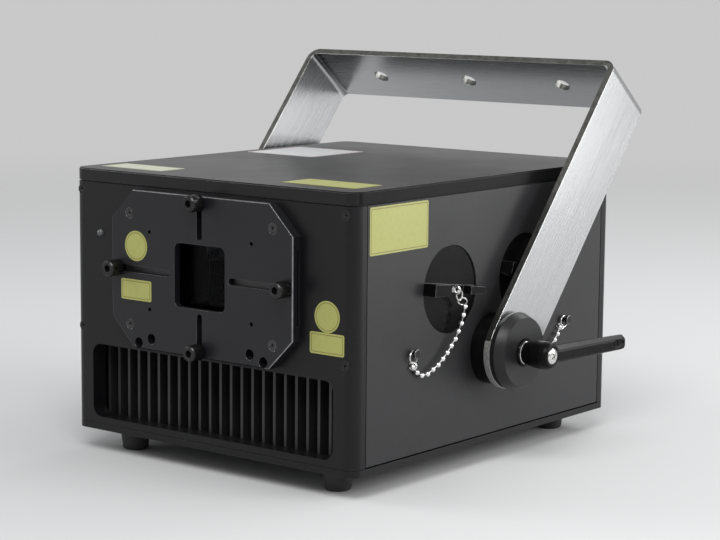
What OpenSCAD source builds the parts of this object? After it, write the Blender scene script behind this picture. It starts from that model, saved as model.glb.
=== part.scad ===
// Show projector for coloured light beams: a flat metal case on four feet, held in a
// tilting yoke by two clamping levers. The beam leaves through a square window, and four
// sliding blades on the front plate mask it.
// Frame: origin on the resting plane of the feet, below the middle of the case.
// The beam leaves along -Y, +Z is up, and +X is the side with the two service caps.

/* [Case] */
// Width of the case
case_w = 266; // [240:1:300]
// Depth of the case, front plate to rear plate
case_d = 320; // [300:1:360]
// Height of the case without its feet
case_h = 195; // [190:1:230]
// Radius of the four upright corners
corner_r = 9; // [4:0.5:12]
// Thickness of the lid
lid_t = 9; // [6:0.5:12]
// Thickness of the gasket under the lid
gasket_t = 1; // [0.6:0.1:2]
// Thickness of the bottom plate
bottom_t = 5; // [4:0.5:8]
// Thickness of the front plate
front_t = 13; // [11:0.5:16]
// Thickness of the rear plate
rear_t = 13; // [10:0.5:16]
// Thickness of the side panels
side_t = 8; // [7:0.5:10]

/* [Feet] */
// Height of a rubber foot
foot_h = 17; // [12:0.5:24]
// Diameter of a foot where it meets the case
foot_top_d = 23; // [20:0.5:30]
// Diameter of a foot on the floor
foot_low_d = 19; // [16:0.5:26]
// Sideways distance from the middle to a foot
foot_x = 98; // [70:1:105]
// Distance from the front and rear faces to a foot
foot_inset = 27; // [20:1:45]

/* [Yoke] */
// Width of the yoke strip
yoke_w = 56; // [40:1:60]
// Thickness of the yoke strip
yoke_t = 5; // [4:0.5:6]
// Pivot to the outer face of the crossbar
yoke_reach = 244; // [230:1:270]
// Inner radius of the two bends
yoke_bend_r = 5; // [3:0.5:10]
// Height of the pivot above the underside of the case
pivot_h = 69; // [66:1:75]
// Lean of the yoke towards the rear
yoke_lean = 40; // [0:1:50]
// Diameter of the holes in the crossbar
yoke_hole_d = 13; // [9:0.5:16]
// Distance from the middle hole to each outer hole
yoke_hole_pitch = 90; // [60:1:100]

/* [Pivots] */
// Diameter of the threaded stud
stud_d = 10; // [8:0.5:12]
// Diameter of the spacer between case and yoke
spacer_d = 52; // [40:1:60]
// Thickness of that spacer
spacer_t = 13; // [12.5:0.5:20]
// Diameter of the clamp disc outside the yoke
disc_d = 57; // [46:0.5:60]
// Thickness of the clamp disc
disc_t = 11.5; // [8:0.5:14]
// Width of the bevel round the clamp disc
disc_bevel = 3.2; // [1:0.1:4]
// Length of that bevel along the pivot
disc_bevel_len = 7; // [3:0.5:7.5]
// Length of the lever handle from the pivot to its tip
handle_len = 90; // [60:1:110]
// Diameter of the lever hub
hub_d = 19; // [17:0.5:24]
// Distance the handle pulls out against its spring
handle_pull = 5; // [3:0.5:6]

/* [Aperture] */
// Depth of the beam centre below the top of the case
beam_drop = 69; // [67:0.5:71]
// Width of the octagonal aperture plate
oct_w = 172; // [168:1:180]
// Height of the octagonal aperture plate
oct_h = 115; // [112:0.5:117]
// Size of its corner cuts
oct_cut = 21.5; // [15:0.5:24]
// Thickness of the aperture plate
oct_t = 4.8; // [4:0.1:6]
// Thickness of the blade guide behind it
guide_t = 3.6; // [3.4:0.1:4.5]
// Width of the beam opening
opening_w = 48; // [40:1:50]
// Height of the beam opening
opening_h = 46; // [40:1:48]
// Corner radius of the beam opening
opening_r = 5; // [2:0.5:8]
// Width of the four slots
slot_w = 5; // [4.5:0.1:6]
// Thickness of a blade
blade_t = 0.6; // [0.4:0.1:0.7]
// Width of a blade across its travel
blade_w = 52; // [50:0.5:54]
// Travel of the side blades
side_travel = 49.5; // [30:0.5:50]
// Travel of the upper and lower blades
upright_travel = 24.5; // [15:0.5:25]
// Beam centre to the thumbscrew of a side blade at rest
side_screw_x = 79.5; // [79:0.5:81]
// Beam centre to the thumbscrew of an upper or lower blade at rest
upright_screw_z = 53; // [52:0.5:54]
// Diameter of a thumbscrew head
thumb_d = 12; // [10:0.5:14]
// Length of a thumbscrew head
thumb_len = 11.5; // [8:0.5:16]
// Diameter of the small stud of a thumbscrew
thumb_stud_d = 4; // [3:0.5:4]

/* [Air intake] */
// Width of the solid strip beside the intake in the front plate
intake_side = 18; // [17:0.5:33]
// Height of the solid strip between the intake and the aperture plate
intake_strip = 3.5; // [2.5:0.5:18.5]
// Lower edge of the intake above the underside of the case
intake_low = 10; // [8:0.5:12]
// Corner radius of the intake
intake_r = 8; // [3:0.5:12]
// Number of cooling fins
fin_count = 23; // [15:2:23]
// Thickness of a fin
fin_t = 2.3; // [1.5:0.1:3]
// Space between the outer fins and the side rails
fin_margin = 3.2; // [2:0.1:12]

/* [Service caps] */
// Diameter of the round seat of a service cap
cap_seat_d = 63.4; // [50:0.2:66]
// Depth of the cap's face below the side panel
cap_sink = 1; // [0.5:0.1:1.5]
// Distance from the middle of the case to the front cap
cap_front_y = -51.5; // [-60:0.5:-45]
// Distance from the middle of the case to the rear cap
cap_rear_y = 41; // [38:0.5:60]
// Height of the caps above the underside of the case
cap_h = 118; // [116:0.5:130]
// Height of the grip bar above the cap
grip_h = 10.8; // [6:0.1:11]
// Width of the grip bar at its broad end
grip_w = 9; // [7:0.5:11]
// Width of the grip bar at its narrow end
grip_tip_w = 4.6; // [3:0.1:7]
// Width of the notch in the middle of the grip bar
grip_notch = 24; // [18:0.5:26]

/* [Hidden] */
$fn = 72;

// Clearances
fit = 0.05;
gap = 0.3;
hole_gap = 0.3;

// Levels and faces of the case
side_x = case_w / 2;
front_y = -case_d / 2;
rear_y = case_d / 2;
base_z = foot_h;
inner_z = base_z + bottom_t;
top_z = base_z + case_h;
lid_z = top_z - lid_t;
wall_z = lid_z - gasket_t;
wall_h = wall_z - inner_z;
pivot_z = base_z + pivot_h;
beam_z = top_z - beam_drop;
cap_z = base_z + cap_h;

// Screws of the case
m4_d = 4;
m4_head_d = 7.6;
m4_head_h = 2.4;
m4_len = 18;
plate_screw_x = case_w / 2 - 8;
plate_screw_zs = [pivot_z + 8, top_z - 16];
lid_screw_inset = 6.5;
lid_screw_xs = [47 - side_x, 0, side_x - 47];
lid_screw_ys = [55 - rear_y, 0, rear_y - 55];

// Aperture stack, from the front plate outwards
guide_y = front_y - guide_t;
oct_y = guide_y - oct_t;
layer_t = guide_t / 2;
plane_pitch = guide_t / 4;
blade_gap = (plane_pitch - blade_t) / 2;
channel_w = blade_w + 2 * gap;
slot_end = slot_w / 2;
blade_tail = 4.5;
blade_lead = 5.5;
aperture_screw = [68, 40.5];
tapped_hole = [48.5, 28];
tapped_hole_d = 3.4;
dowel_holes = [[47, 49.2], [59.5, 53.3]];
dowel_hole_d = 7.8;

// Air intake, from its solid strips
intake_w = case_w - 2 * intake_side;
intake_h = beam_z - oct_h / 2 - intake_strip - base_z - intake_low;

// Window behind the blades
glass_t = 3;
seal_t = 1;
seal_w = 4;
window_w = opening_w + 8;
window_h = opening_h + 8;
pocket_w = window_w + 2 * seal_w;
pocket_h = window_h + 2 * seal_w;
pocket_depth = glass_t + seal_t + 1.5;

// Cooling bench, rails and what stands on the bench
bench_t = 10;
bench_low = pivot_z - 2;
bench_top = bench_low + bench_t;
rail_t = 9;
rail_h = 24;
rail_len = 240;
rail_x = side_x - side_t - rail_t;
bench_w = 2 * rail_x;
fin_pitch = (bench_w - 2 * fin_margin - fin_t) / (fin_count - 1);
bench_front = front_y + front_t;
fan_size = 60;
fan_t = 25;
fan_x = 62;
fan_z = inner_z + 1 + fan_size / 2;
fan_bore_d = 56;
fan_hub_d = 24;
bench_rear = rear_y - rear_t - fan_t - 18;

// Pivots, from the side panel outwards
arm_x = side_x + spacer_t;
arm_out = arm_x + yoke_t;
disc_out = arm_out + disc_t;
collar_d = 16.6;
collar_t = 1.8;
serration_d = 13;
hub_x = disc_out + gap + collar_t + gap;
hub_len = 22;
hub_cap_t = 5;
hub_out = hub_x + hub_len;
stud_low_x = rail_x + 0.5;
serration_out = hub_x + 9;
screw_head_d = 11.8;
screw_head_t = 3.8;
screw_dome = 1.5;
screw_shank_d = 5;
screw_proud = 1.4;
screw_out = hub_out + screw_proud;
screw_seat_x = screw_out - screw_head_t;
cross_len = 6.4;
cross_w = 1.2;
cross_depth = 1.7;
spring_floor_x = screw_seat_x - handle_pull - 0.5;

// Service caps and their chains
cap_disc_t = 4.2;
cap_seal_t = 0.5;
cap_seat_depth = cap_sink + cap_disc_t + gap + cap_seal_t;
cap_bore_d = cap_seat_d - 11.4;
cap_angles = [-5.8, -18];
cap_ys = [cap_front_y, cap_rear_y];
grip_len = cap_seat_d - 2.4;
notch_floor = 3.5;
eye_post_d = 4;
eye_d = 5;
eye_wire = 1.6;
eye_x = side_x - cap_sink + notch_floor + eye_d / 2 + eye_wire / 2;
cap_ring_d = 13;
screw_ring_d = 9;
ring_wire = 1.1;
cap_ring_turns = [38, 10];
screw_ring_turns = [-6, -58];
bead_d = 3.6;
bead_pitch = 6.1;
link_d = 1.2;
bead_gap = 0.1;
chain_screw_y = 96;
chain_screw_z = cap_z - 40;
chain_screw_d = 3;
chain_head_d = 7;
chain_head_t = 2.4;
chain_neck = 3.2;
chain_low = bead_d / 2 + bead_gap;
// Free hang of each chain between its two rings. Each point is out from the side panel,
// along it and up, counted from the middle of the cap
front_hang = [[5.5, 7, -24], [5, 0, -35], [4.5, -9.5, -44.5], [4, -19, -51.5],
  [3.2, -30.5, -56.5], [2.5, -38.5, -56.5]];
rear_hang = [[5.5, 2, -30], [5, 5, -43], [4.5, 13, -53], [4, 24, -58],
  [3.5, 35, -56], [2.8, 42, -51]];

// Shapes used more than once
module round_rect(w, h, r) {
  square([w - 2 * r, h], center = true);
  square([w, h - 2 * r], center = true);
  for (sx = [-1, 1], sy = [-1, 1])
    translate([sx * (w / 2 - r), sy * (h / 2 - r)]) circle(r);
}

module case_outline() {
  round_rect(case_w, case_d, corner_r);
}

// A prism along Y: its outline is drawn in X and Z, from y to y + t
module upright(y, t) {
  translate([0, y + t, 0]) rotate([90, 0, 0]) linear_extrude(t) children();
}

// A rod along X from x0 to x1
module rod_x(x0, x1, d) {
  translate([x0, 0, 0]) rotate([0, 90, 0]) cylinder(h = x1 - x0, d = d);
}

// A rod along Y from y0 to y1
module rod_y(y0, y1, d) {
  translate([0, y0, 0]) rotate([-90, 0, 0]) cylinder(h = y1 - y0, d = d);
}

module both_sides() {
  children();
  mirror([1, 0, 0]) children();
}

// A countersunk screw with its head's face at z = 0, pointing down
module flat_screw(d, head_d, head_h, len) {
  difference() {
    union() {
      translate([0, 0, -head_h]) cylinder(h = head_h, d1 = d, d2 = head_d);
      translate([0, 0, -len]) cylinder(h = len - head_h, d = d);
    }
    translate([0, 0, -1.4]) cylinder(h = 2, d = d * 0.62, $fn = 6);
  }
}

module flat_screw_hole(d, head_d, head_h, len) {
  translate([0, 0, -head_h]) cylinder(h = head_h + 0.01, d1 = d + 2 * fit, d2 = head_d + 2 * fit);
  translate([0, 0, -len - 1]) cylinder(h = len + 1, d = d + 2 * fit);
}

// Places of the screws, each with its head's face as the local z = 0
module at_lid_screws() {
  for (x = lid_screw_xs, s = [-1, 1])
    translate([x, s * (rear_y - lid_screw_inset), top_z]) children();
  for (y = lid_screw_ys, s = [-1, 1])
    translate([s * (side_x - side_t / 2), y, top_z]) children();
}

module at_plate_screws() {
  for (x = [-plate_screw_x, plate_screw_x], z = plate_screw_zs) {
    translate([x, front_y, z]) rotate([90, 0, 0]) children();
    translate([x, rear_y, z]) rotate([-90, 0, 0]) children();
  }
}

module at_aperture_screws() {
  for (sx = [-1, 1], sz = [-1, 1])
    translate([sx * aperture_screw[0], oct_y, beam_z + sz * aperture_screw[1]])
      rotate([90, 0, 0]) children();
}

module at_feet() {
  for (sx = [-1, 1], sy = [-1, 1])
    translate([sx * foot_x, sy * (rear_y - foot_inset), 0]) children();
}

module lid_screw_cuts() {
  at_lid_screws() flat_screw_hole(m4_d, m4_head_d, m4_head_h, m4_len);
}

module plate_screw_cuts() {
  at_plate_screws() flat_screw_hole(m4_d, m4_head_d, m4_head_h, front_t + 8);
}

module foot_screw_cuts() {
  at_feet() translate([0, 0, base_z - 1]) cylinder(h = bottom_t + 2, d = m4_d + 2 * fit);
}

// Case plates
module bottom_plate() {
  color([0.13, 0.13, 0.14]) difference() {
    translate([0, 0, base_z]) linear_extrude(bottom_t) case_outline();
    foot_screw_cuts();
  }
}

module octagon(w, h, c) {
  polygon([[w / 2 - c, h / 2], [w / 2, h / 2 - c], [w / 2, c - h / 2], [w / 2 - c, -h / 2],
    [c - w / 2, -h / 2], [-w / 2, c - h / 2], [-w / 2, h / 2 - c], [c - w / 2, h / 2]]);
}

module front_plate() {
  intake_z = base_z + intake_low + intake_h / 2;
  color([0.15, 0.15, 0.16]) difference() {
    translate([0, 0, inner_z]) linear_extrude(wall_h) intersection() {
      case_outline();
      translate([-side_x, front_y]) square([case_w, front_t]);
    }
    translate([0, 0, intake_z]) upright(front_y - 1, front_t + 2)
      round_rect(intake_w, intake_h, intake_r);
    translate([0, 0, beam_z]) {
      upright(front_y - 1, front_t + 2) round_rect(window_w, window_h, opening_r);
      upright(front_y - 1, pocket_depth + 1) round_rect(pocket_w, pocket_h, opening_r);
    }
    translate([lamp_x, 0, lamp_z]) rod_y(front_y - 1, front_y + front_t + 1, lamp_d + 2 * fit);
    at_aperture_screws() cylinder(h = 2 * (oct_t + guide_t + 8), d = m4_d + 2 * fit, center = true);
    plate_screw_cuts();
    lid_screw_cuts();
  }
}

// Small lamp in the front plate
lamp_d = 6.4;
lamp_x = 27 - side_x;
lamp_z = beam_z + 22;

module indicator_lamp() {
  color([0.85, 0.85, 0.82]) translate([lamp_x, 0, lamp_z]) {
    rod_y(front_y + 0.5, front_y + front_t + 3, lamp_d);
    translate([0, front_y + 0.5, 0]) sphere(d = lamp_d - 0.6);
  }
}

vent_slot_w = 4.5;
vent_slot_pitch = 8;
vent_d = 54;

module rear_plate() {
  color([0.15, 0.15, 0.16]) difference() {
    translate([0, 0, inner_z]) linear_extrude(wall_h) intersection() {
      case_outline();
      translate([-side_x, rear_y - rear_t]) square([case_w, rear_t]);
    }
    for (s = [-1, 1])
      translate([s * fan_x, 0, fan_z]) upright(rear_y - rear_t - 1, rear_t + 2) intersection() {
        circle(d = vent_d);
        for (i = [-3:3])
          translate([i * vent_slot_pitch, 0]) square([vent_slot_w, vent_d], center = true);
      }
    at_power_sockets() square([power_w + 2 * gap, power_h + 2 * gap], center = true);
    at_signal_sockets() circle(d = signal_d + 2 * gap);
    translate([key_x, 0, key_z])
      rod_y(rear_y - rear_t - 1, rear_y + 1, key_barrel_d + 2 * fit);
    plate_screw_cuts();
    lid_screw_cuts();
  }
}

module side_panel() {
  difference() {
    translate([side_x - side_t, front_y + front_t, inner_z])
      cube([side_t, case_d - front_t - rear_t, wall_h]);
    translate([0, 0, pivot_z]) rod_x(rail_x, side_x + 1, stud_d + 2 * hole_gap);
    plate_screw_cuts();
    lid_screw_cuts();
  }
}

module side_panel_left() {
  color([0.17, 0.17, 0.18]) mirror([1, 0, 0]) side_panel();
}

module side_panel_right() {
  color([0.17, 0.17, 0.18]) difference() {
    side_panel();
    for (y = cap_ys) translate([0, y, cap_z]) {
      rod_x(side_x - cap_seat_depth, side_x + 1, cap_seat_d);
      rod_x(side_x - side_t - 1, side_x, cap_bore_d);
    }
    for (s = [-1, 1]) translate([0, s * chain_screw_y, chain_screw_z])
      rod_x(side_x - side_t - 1, side_x + 1, chain_screw_d + 2 * fit);
  }
}

lid_edge = 1;

module lid() {
  color([0.2, 0.2, 0.21]) difference() {
    union() {
      translate([0, 0, lid_z]) linear_extrude(lid_t - lid_edge) case_outline();
      translate([0, 0, top_z - lid_edge]) linear_extrude(lid_edge)
        round_rect(case_w - lid_edge, case_d - lid_edge, corner_r - lid_edge / 2);
    }
    lid_screw_cuts();
  }
}

gasket_in = 1.5;

module lid_gasket() {
  color([0.05, 0.05, 0.05]) difference() {
    translate([0, 0, wall_z]) linear_extrude(gasket_t) difference() {
      round_rect(case_w - 2 * gasket_in, case_d - 2 * gasket_in, corner_r - gasket_in);
      square([case_w - 2 * side_t, case_d - front_t - rear_t], center = true);
    }
    at_lid_screws() translate([0, 0, -m4_len]) cylinder(h = m4_len, d = m4_d + 2 * hole_gap);
  }
}

module lid_screws() {
  color([0.1, 0.1, 0.1]) at_lid_screws() flat_screw(m4_d, m4_head_d, m4_head_h, m4_len);
}

module plate_screws() {
  color([0.1, 0.1, 0.1]) at_plate_screws() flat_screw(m4_d, m4_head_d, m4_head_h, front_t + 8);
}

foot_bore_d = 9;
foot_floor = 5;

module feet() {
  color([0.08, 0.08, 0.08]) at_feet() difference() {
    rotate_extrude() polygon([[0, 0], [foot_low_d / 2 - 1.5, 0], [foot_low_d / 2, 1.5],
      [foot_top_d / 2, foot_h], [0, foot_h]]);
    translate([0, 0, -1]) cylinder(h = foot_h - foot_floor + 1, d = foot_bore_d);
    cylinder(h = foot_h + 1, d = m4_d + 2 * fit);
  }
}

module foot_screws() {
  head_z = foot_h - foot_floor;
  color([0.6, 0.6, 0.6]) at_feet() difference() {
    union() {
      translate([0, 0, head_z - 3]) cylinder(h = 3, d = foot_bore_d - 1);
      translate([0, 0, head_z]) cylinder(h = foot_floor + bottom_t, d = m4_d);
    }
    translate([0, 0, head_z - 4]) cylinder(h = 2.5, d = 3, $fn = 6);
  }
}

// Aperture plate, guide and blades
module slots_2d() {
  for (s = [-1, 1]) {
    inner_x = side_screw_x - side_travel;
    inner_h = upright_screw_z - upright_travel;
    translate([s * (inner_x + side_screw_x) / 2, 0]) square([side_travel, slot_w], center = true);
    translate([0, s * (inner_h + upright_screw_z) / 2]) square([slot_w, upright_travel], center = true);
    for (x = [inner_x, side_screw_x]) translate([s * x, 0]) circle(slot_end);
    for (z = [inner_h, upright_screw_z]) translate([0, s * z]) circle(slot_end);
  }
}

// The tapped holes end in the aperture plate, the dowel holes go on through the guide
module tapped_holes_2d() {
  for (sx = [-1, 1], sz = [-1, 1])
    translate([sx * tapped_hole[0], sz * tapped_hole[1]]) circle(d = tapped_hole_d);
}

module dowel_holes_2d() {
  for (sx = [-1, 1], h = dowel_holes) translate([sx * h[0], -h[1]]) circle(d = dowel_hole_d);
}

module aperture_plate() {
  color([0.2, 0.2, 0.21]) difference() {
    translate([0, 0, beam_z]) upright(oct_y, oct_t) difference() {
      octagon(oct_w, oct_h, oct_cut);
      round_rect(opening_w, opening_h, opening_r);
      slots_2d();
      tapped_holes_2d();
      dowel_holes_2d();
    }
    at_aperture_screws() flat_screw_hole(m4_d, m4_head_d, m4_head_h, oct_t + guide_t + 7);
  }
}

module blade_guide() {
  color([0.16, 0.16, 0.17]) difference() {
    translate([0, 0, beam_z]) {
      upright(guide_y, layer_t) difference() {
        octagon(oct_w, oct_h, oct_cut);
        square([oct_w + 1, channel_w], center = true);
        slots_2d();
        dowel_holes_2d();
      }
      upright(guide_y + layer_t, layer_t) difference() {
        octagon(oct_w, oct_h, oct_cut);
        square([channel_w, oct_h + 1], center = true);
        dowel_holes_2d();
      }
    }
    at_aperture_screws() cylinder(h = 2 * (oct_t + guide_t + 1), d = m4_d + 2 * fit, center = true);
  }
}

module aperture_screws() {
  color([0.55, 0.55, 0.56]) at_aperture_screws()
    flat_screw(m4_d, m4_head_d, m4_head_h, oct_t + guide_t + 7);
}

// A blade seen from the front, drawn to the right of the beam centre
module blade(y, screw_at, lead) {
  translate([0, 0, beam_z]) difference() {
    upright(y, blade_t) translate([lead, -blade_w / 2])
      square([screw_at + blade_tail - lead, blade_w]);
    translate([screw_at, 0, 0]) rod_y(y - 1, y + blade_t + 1, thumb_stud_d + 2 * fit);
  }
}

// Front face of each blade: every blade slides in a plane of its own, so they can pass
function plane_y(i) = guide_y + i * plane_pitch + blade_gap;

module turned_about_beam(a) {
  translate([0, 0, beam_z]) rotate([0, -a, 0]) translate([0, 0, -beam_z]) children();
}

module side_blade(plane) {
  color([0.3, 0.3, 0.31]) blade(plane_y(plane), side_screw_x, opening_w / 2 + blade_lead);
}

module upright_blade(plane) {
  color([0.3, 0.3, 0.31]) blade(plane_y(plane), upright_screw_z, opening_h / 2 + blade_lead - 0.5);
}

module blade_right() { side_blade(0); }
module blade_left() { turned_about_beam(180) side_blade(1); }
module blade_upper() { turned_about_beam(90) upright_blade(2); }
module blade_lower() { turned_about_beam(-90) upright_blade(3); }

flute_count = 24;
flute_d = 0.9;

module thumbscrew(plane) {
  head_y = oct_y - gap - thumb_len;
  end_y = plane_y(plane) + blade_t;
  difference() {
    union() {
      rod_y(head_y + 1, oct_y - gap, thumb_d);
      translate([0, head_y, 0]) rotate([-90, 0, 0])
        cylinder(h = 1, d1 = thumb_d - 2, d2 = thumb_d);
      rod_y(oct_y - gap, end_y, thumb_stud_d);
    }
    for (i = [0:flute_count - 1]) rotate([0, i * 360 / flute_count, 0])
      translate([thumb_d / 2, 0, 0]) rod_y(head_y + 1.5, oct_y - 1, flute_d);
    translate([0, head_y - 1, 0]) rotate([-90, 0, 0]) cylinder(h = 4, d = 4.6, $fn = 6);
  }
}

module thumbscrew_right() {
  color([0.1, 0.1, 0.1]) translate([side_screw_x, 0, beam_z]) thumbscrew(0);
}

module thumbscrew_left() {
  color([0.1, 0.1, 0.1]) translate([-side_screw_x, 0, beam_z]) thumbscrew(1);
}

module thumbscrew_upper() {
  color([0.1, 0.1, 0.1]) translate([0, 0, beam_z + upright_screw_z]) thumbscrew(2);
}

module thumbscrew_lower() {
  color([0.1, 0.1, 0.1]) translate([0, 0, beam_z - upright_screw_z]) thumbscrew(3);
}

seal_y = front_y + pocket_depth - seal_t;

module window_gasket() {
  color([0.05, 0.05, 0.05]) translate([0, 0, beam_z]) upright(seal_y, seal_t) difference() {
    round_rect(pocket_w - 2 * fit, pocket_h - 2 * fit, opening_r - fit);
    round_rect(window_w, window_h, opening_r);
  }
}

module window_glass() {
  color([0.7, 0.8, 0.8, 0.4]) translate([0, 0, beam_z]) upright(seal_y - glass_t, glass_t)
    round_rect(pocket_w - 2 * fit, pocket_h - 2 * fit, opening_r - fit);
}

// Bench with its fins, and the rails that carry it between the side panels
fin_low = inner_z + 1;
fin_setback = 0.8;

module cooling_bench() {
  bench_len = bench_rear - bench_front;
  color([0.55, 0.55, 0.56]) {
    translate([-bench_w / 2, bench_front, bench_low]) cube([bench_w, bench_len, bench_t]);
    for (i = [0:fin_count - 1])
      translate([(i - (fin_count - 1) / 2) * fin_pitch - fin_t / 2, bench_front + fin_setback, fin_low])
        cube([fin_t, bench_len - fin_setback, bench_low - fin_low + 1]);
  }
}

module side_rails() {
  color([0.5, 0.5, 0.52]) both_sides() difference() {
    translate([rail_x, -rail_len / 2, pivot_z - rail_h / 2]) cube([rail_t, rail_len, rail_h]);
    translate([0, 0, pivot_z]) rod_x(rail_x - 1, rail_x + rail_t + 1, stud_d + 2 * fit);
  }
}

// Light path: three laser modules along the left, mirrors, then the scanner pair
module_size = [bench_w / 4 - 6, 62, beam_z - bench_top + 12];
module_xs = [for (i = [0:2]) 2 + module_size[0] / 2 - bench_w / 2 + i * bench_w / 4];
module_y = 12;
module_bore_d = 10;
module_cover = [24, 30, 6];
beam_in_y = -52;
mirror_size = 16;
mirror_t = 2.5;
mirror_post = 12;
mirror_back_t = 6;
mirror_screw_d = 5;

module laser_modules() {
  color([0.62, 0.62, 0.6]) for (x = module_xs) translate([x, 0, bench_top]) {
    difference() {
      translate([-module_size[0] / 2, module_y, 0]) cube(module_size);
      translate([0, 0, beam_z - bench_top]) rod_y(module_y - 1, module_y + 20, module_bore_d);
    }
    translate([-module_cover[0] / 2, module_y + 6, module_size[2]]) cube(module_cover);
  }
}

module at_combining_mirrors() {
  for (x = module_xs) translate([x, beam_in_y, beam_z]) rotate([0, 0, 45]) children();
}

module mirror_mounts() {
  post_h = beam_z - bench_top - mirror_size / 2;
  back_y = mirror_t / 2;
  color([0.72, 0.62, 0.35]) at_combining_mirrors() {
    translate([-mirror_post / 2, back_y, -mirror_size / 2 - post_h])
      cube([mirror_post, mirror_post, post_h]);
    translate([-mirror_size / 2, back_y, -mirror_size / 2])
      cube([mirror_size, mirror_back_t, mirror_size]);
    translate([mirror_size / 4, 0, mirror_size / 4])
      rod_y(back_y + mirror_back_t, back_y + mirror_back_t + 7, mirror_screw_d);
  }
}

module combining_mirrors() {
  color([0.8, 0.85, 0.9]) at_combining_mirrors()
    translate([-mirror_size / 2, -mirror_t / 2, -mirror_size / 2])
      cube([mirror_size, mirror_t, mirror_size]);
}

// Scanner pair: the first motor stands, the second lies along X
scan_x = 0;
scan_y = front_y + front_t + 38;
motor_d = 14;
motor_len = 34;
upright_motor_top = beam_z - 9;
upright_motor_low = bench_top + 6;
shaft_d = 3;
scan_rise = 13;
scan_block_w = 24;
scan_step = 18;
scan_motor_x0 = scan_x + 14;
scan_lower_z = beam_z - scan_rise;

module scanner_block() {
  color([0.25, 0.25, 0.27]) difference() {
    union() {
      translate([scan_motor_x0, scan_y - scan_block_w / 2, bench_top])
        cube([scan_block_w, scan_block_w, beam_z + scan_block_w / 2 - bench_top]);
      translate([scan_x - scan_block_w / 2, scan_y + scan_step - scan_block_w / 2, bench_top])
        cube([scan_block_w, scan_block_w, scan_lower_z - bench_top - 9]);
    }
    translate([0, scan_y, beam_z])
      rod_x(scan_motor_x0 - 1, scan_motor_x0 + scan_block_w + 1, motor_d + 2 * fit);
    translate([scan_x, scan_y + scan_step, bench_top - 1])
      cylinder(h = beam_z - bench_top, d = motor_d + 2 * fit);
  }
}

module scanner_motors() {
  color([0.35, 0.35, 0.37]) {
    translate([0, scan_y, beam_z]) difference() {
      rod_x(scan_motor_x0, scan_motor_x0 + motor_len, motor_d);
      rod_x(scan_motor_x0 - 1, scan_motor_x0 + 12, shaft_d + 2 * fit);
    }
    translate([scan_x, scan_y + scan_step, 0]) difference() {
      translate([0, 0, upright_motor_low]) cylinder(h = upright_motor_top - upright_motor_low, d = motor_d);
      translate([0, 0, upright_motor_top - 12]) cylinder(h = 13, d = shaft_d + 2 * fit);
    }
  }
}

scan_mirror_t = 1;

// Mirror on the lying motor: it swings the beam up and down
module scan_mirror_y() {
  color([0.8, 0.85, 0.9]) translate([0, scan_y, beam_z]) {
    rod_x(scan_x + 8, scan_motor_x0 + 11, shaft_d);
    translate([scan_x - 8, 0, 0]) rotate([45, 0, 0])
      translate([0, -5, -scan_mirror_t / 2]) cube([17, 10, scan_mirror_t]);
  }
}

// Mirror on the standing motor: it swings the beam from side to side
module scan_mirror_x() {
  color([0.8, 0.85, 0.9]) translate([scan_x, scan_y + scan_step, 0]) {
    translate([0, 0, upright_motor_top - 11]) cylinder(h = 13, d = shaft_d);
    rotate([0, 0, 45]) translate([-4, -scan_mirror_t / 2, upright_motor_top + 1.5])
      cube([8, scan_mirror_t, 11]);
  }
}

// Electronics
board_t = 1.6;

module board(size, parts) {
  cube([size[0], size[1], board_t]);
  for (p = parts) translate([p[0], p[1], board_t]) cube([p[2], p[3], p[4]]);
}

standoff_d = 6;
board_margin = 4;
rear_bay_y = 84;
rear_bay_w = bench_w / 2 - 20;
rear_bay_d = 44;
driver_size = [48, 70];

module standing_board(x, y, size, lift, parts) {
  translate([x, y, bench_top]) {
    for (dx = [5, size[0] - 5], dy = [5, size[1] - 5])
      translate([dx, dy, 0]) cylinder(h = lift, d = standoff_d);
    translate([0, 0, lift]) board(size, parts);
  }
}

module driver_board() {
  color([0.1, 0.3, 0.15])
    standing_board(bench_w / 2 - board_margin - driver_size[0], scan_y - 18, driver_size, 10,
      [[6, 8, 14, 50, 18], [28, 12, 12, 12, 8]]);
}

module control_board() {
  color([0.1, 0.25, 0.35])
    standing_board(board_margin - bench_w / 2, rear_bay_y, [rear_bay_w, rear_bay_d], 12,
      [[8, 8, 18, 18, 4], [36, 10, 40, 12, 9]]);
}

supply_size = [rear_bay_w, rear_bay_d, 38];
supply_slots = 8;

module power_supply() {
  pitch = (supply_size[0] - 16) / supply_slots;
  color([0.6, 0.6, 0.6]) translate([8, rear_bay_y, bench_top]) difference() {
    cube(supply_size);
    for (i = [0:supply_slots - 1]) translate([10 + i * pitch, -1, supply_size[2] - 12])
      cube([4, supply_size[1] + 2, 6]);
  }
}

// Fans against the rear plate
fan_y = rear_y - rear_t - fan_t;
fan_hub_len = 17;
fan_shaft_d = 4;
fan_cup_t = 4;
fan_arm_w = 4;

module fan_frame() {
  translate([0, fan_y, 0]) {
    difference() {
      translate([-fan_size / 2, 0, -fan_size / 2]) cube([fan_size, fan_t, fan_size]);
      rod_y(-1, fan_t + 1, fan_bore_d);
    }
    for (a = [45:90:315]) rotate([0, a, 0])
      translate([fan_hub_d / 2 - 2, fan_t - fan_cup_t, -fan_arm_w / 2])
        cube([(fan_bore_d - fan_hub_d) / 2 + 3, fan_cup_t, fan_arm_w]);
    difference() {
      rod_y(fan_t - fan_cup_t, fan_t, fan_hub_d);
      rod_y(fan_t - fan_cup_t - 1, fan_t + 1, fan_shaft_d + 2 * fit);
    }
  }
}

module fan_frames() {
  color([0.08, 0.08, 0.08]) for (s = [-1, 1]) translate([s * fan_x, 0, fan_z]) fan_frame();
}

fan_blade_count = 7;
fan_blade_turn = 42;
fan_blade_t = 1.5;

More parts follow.
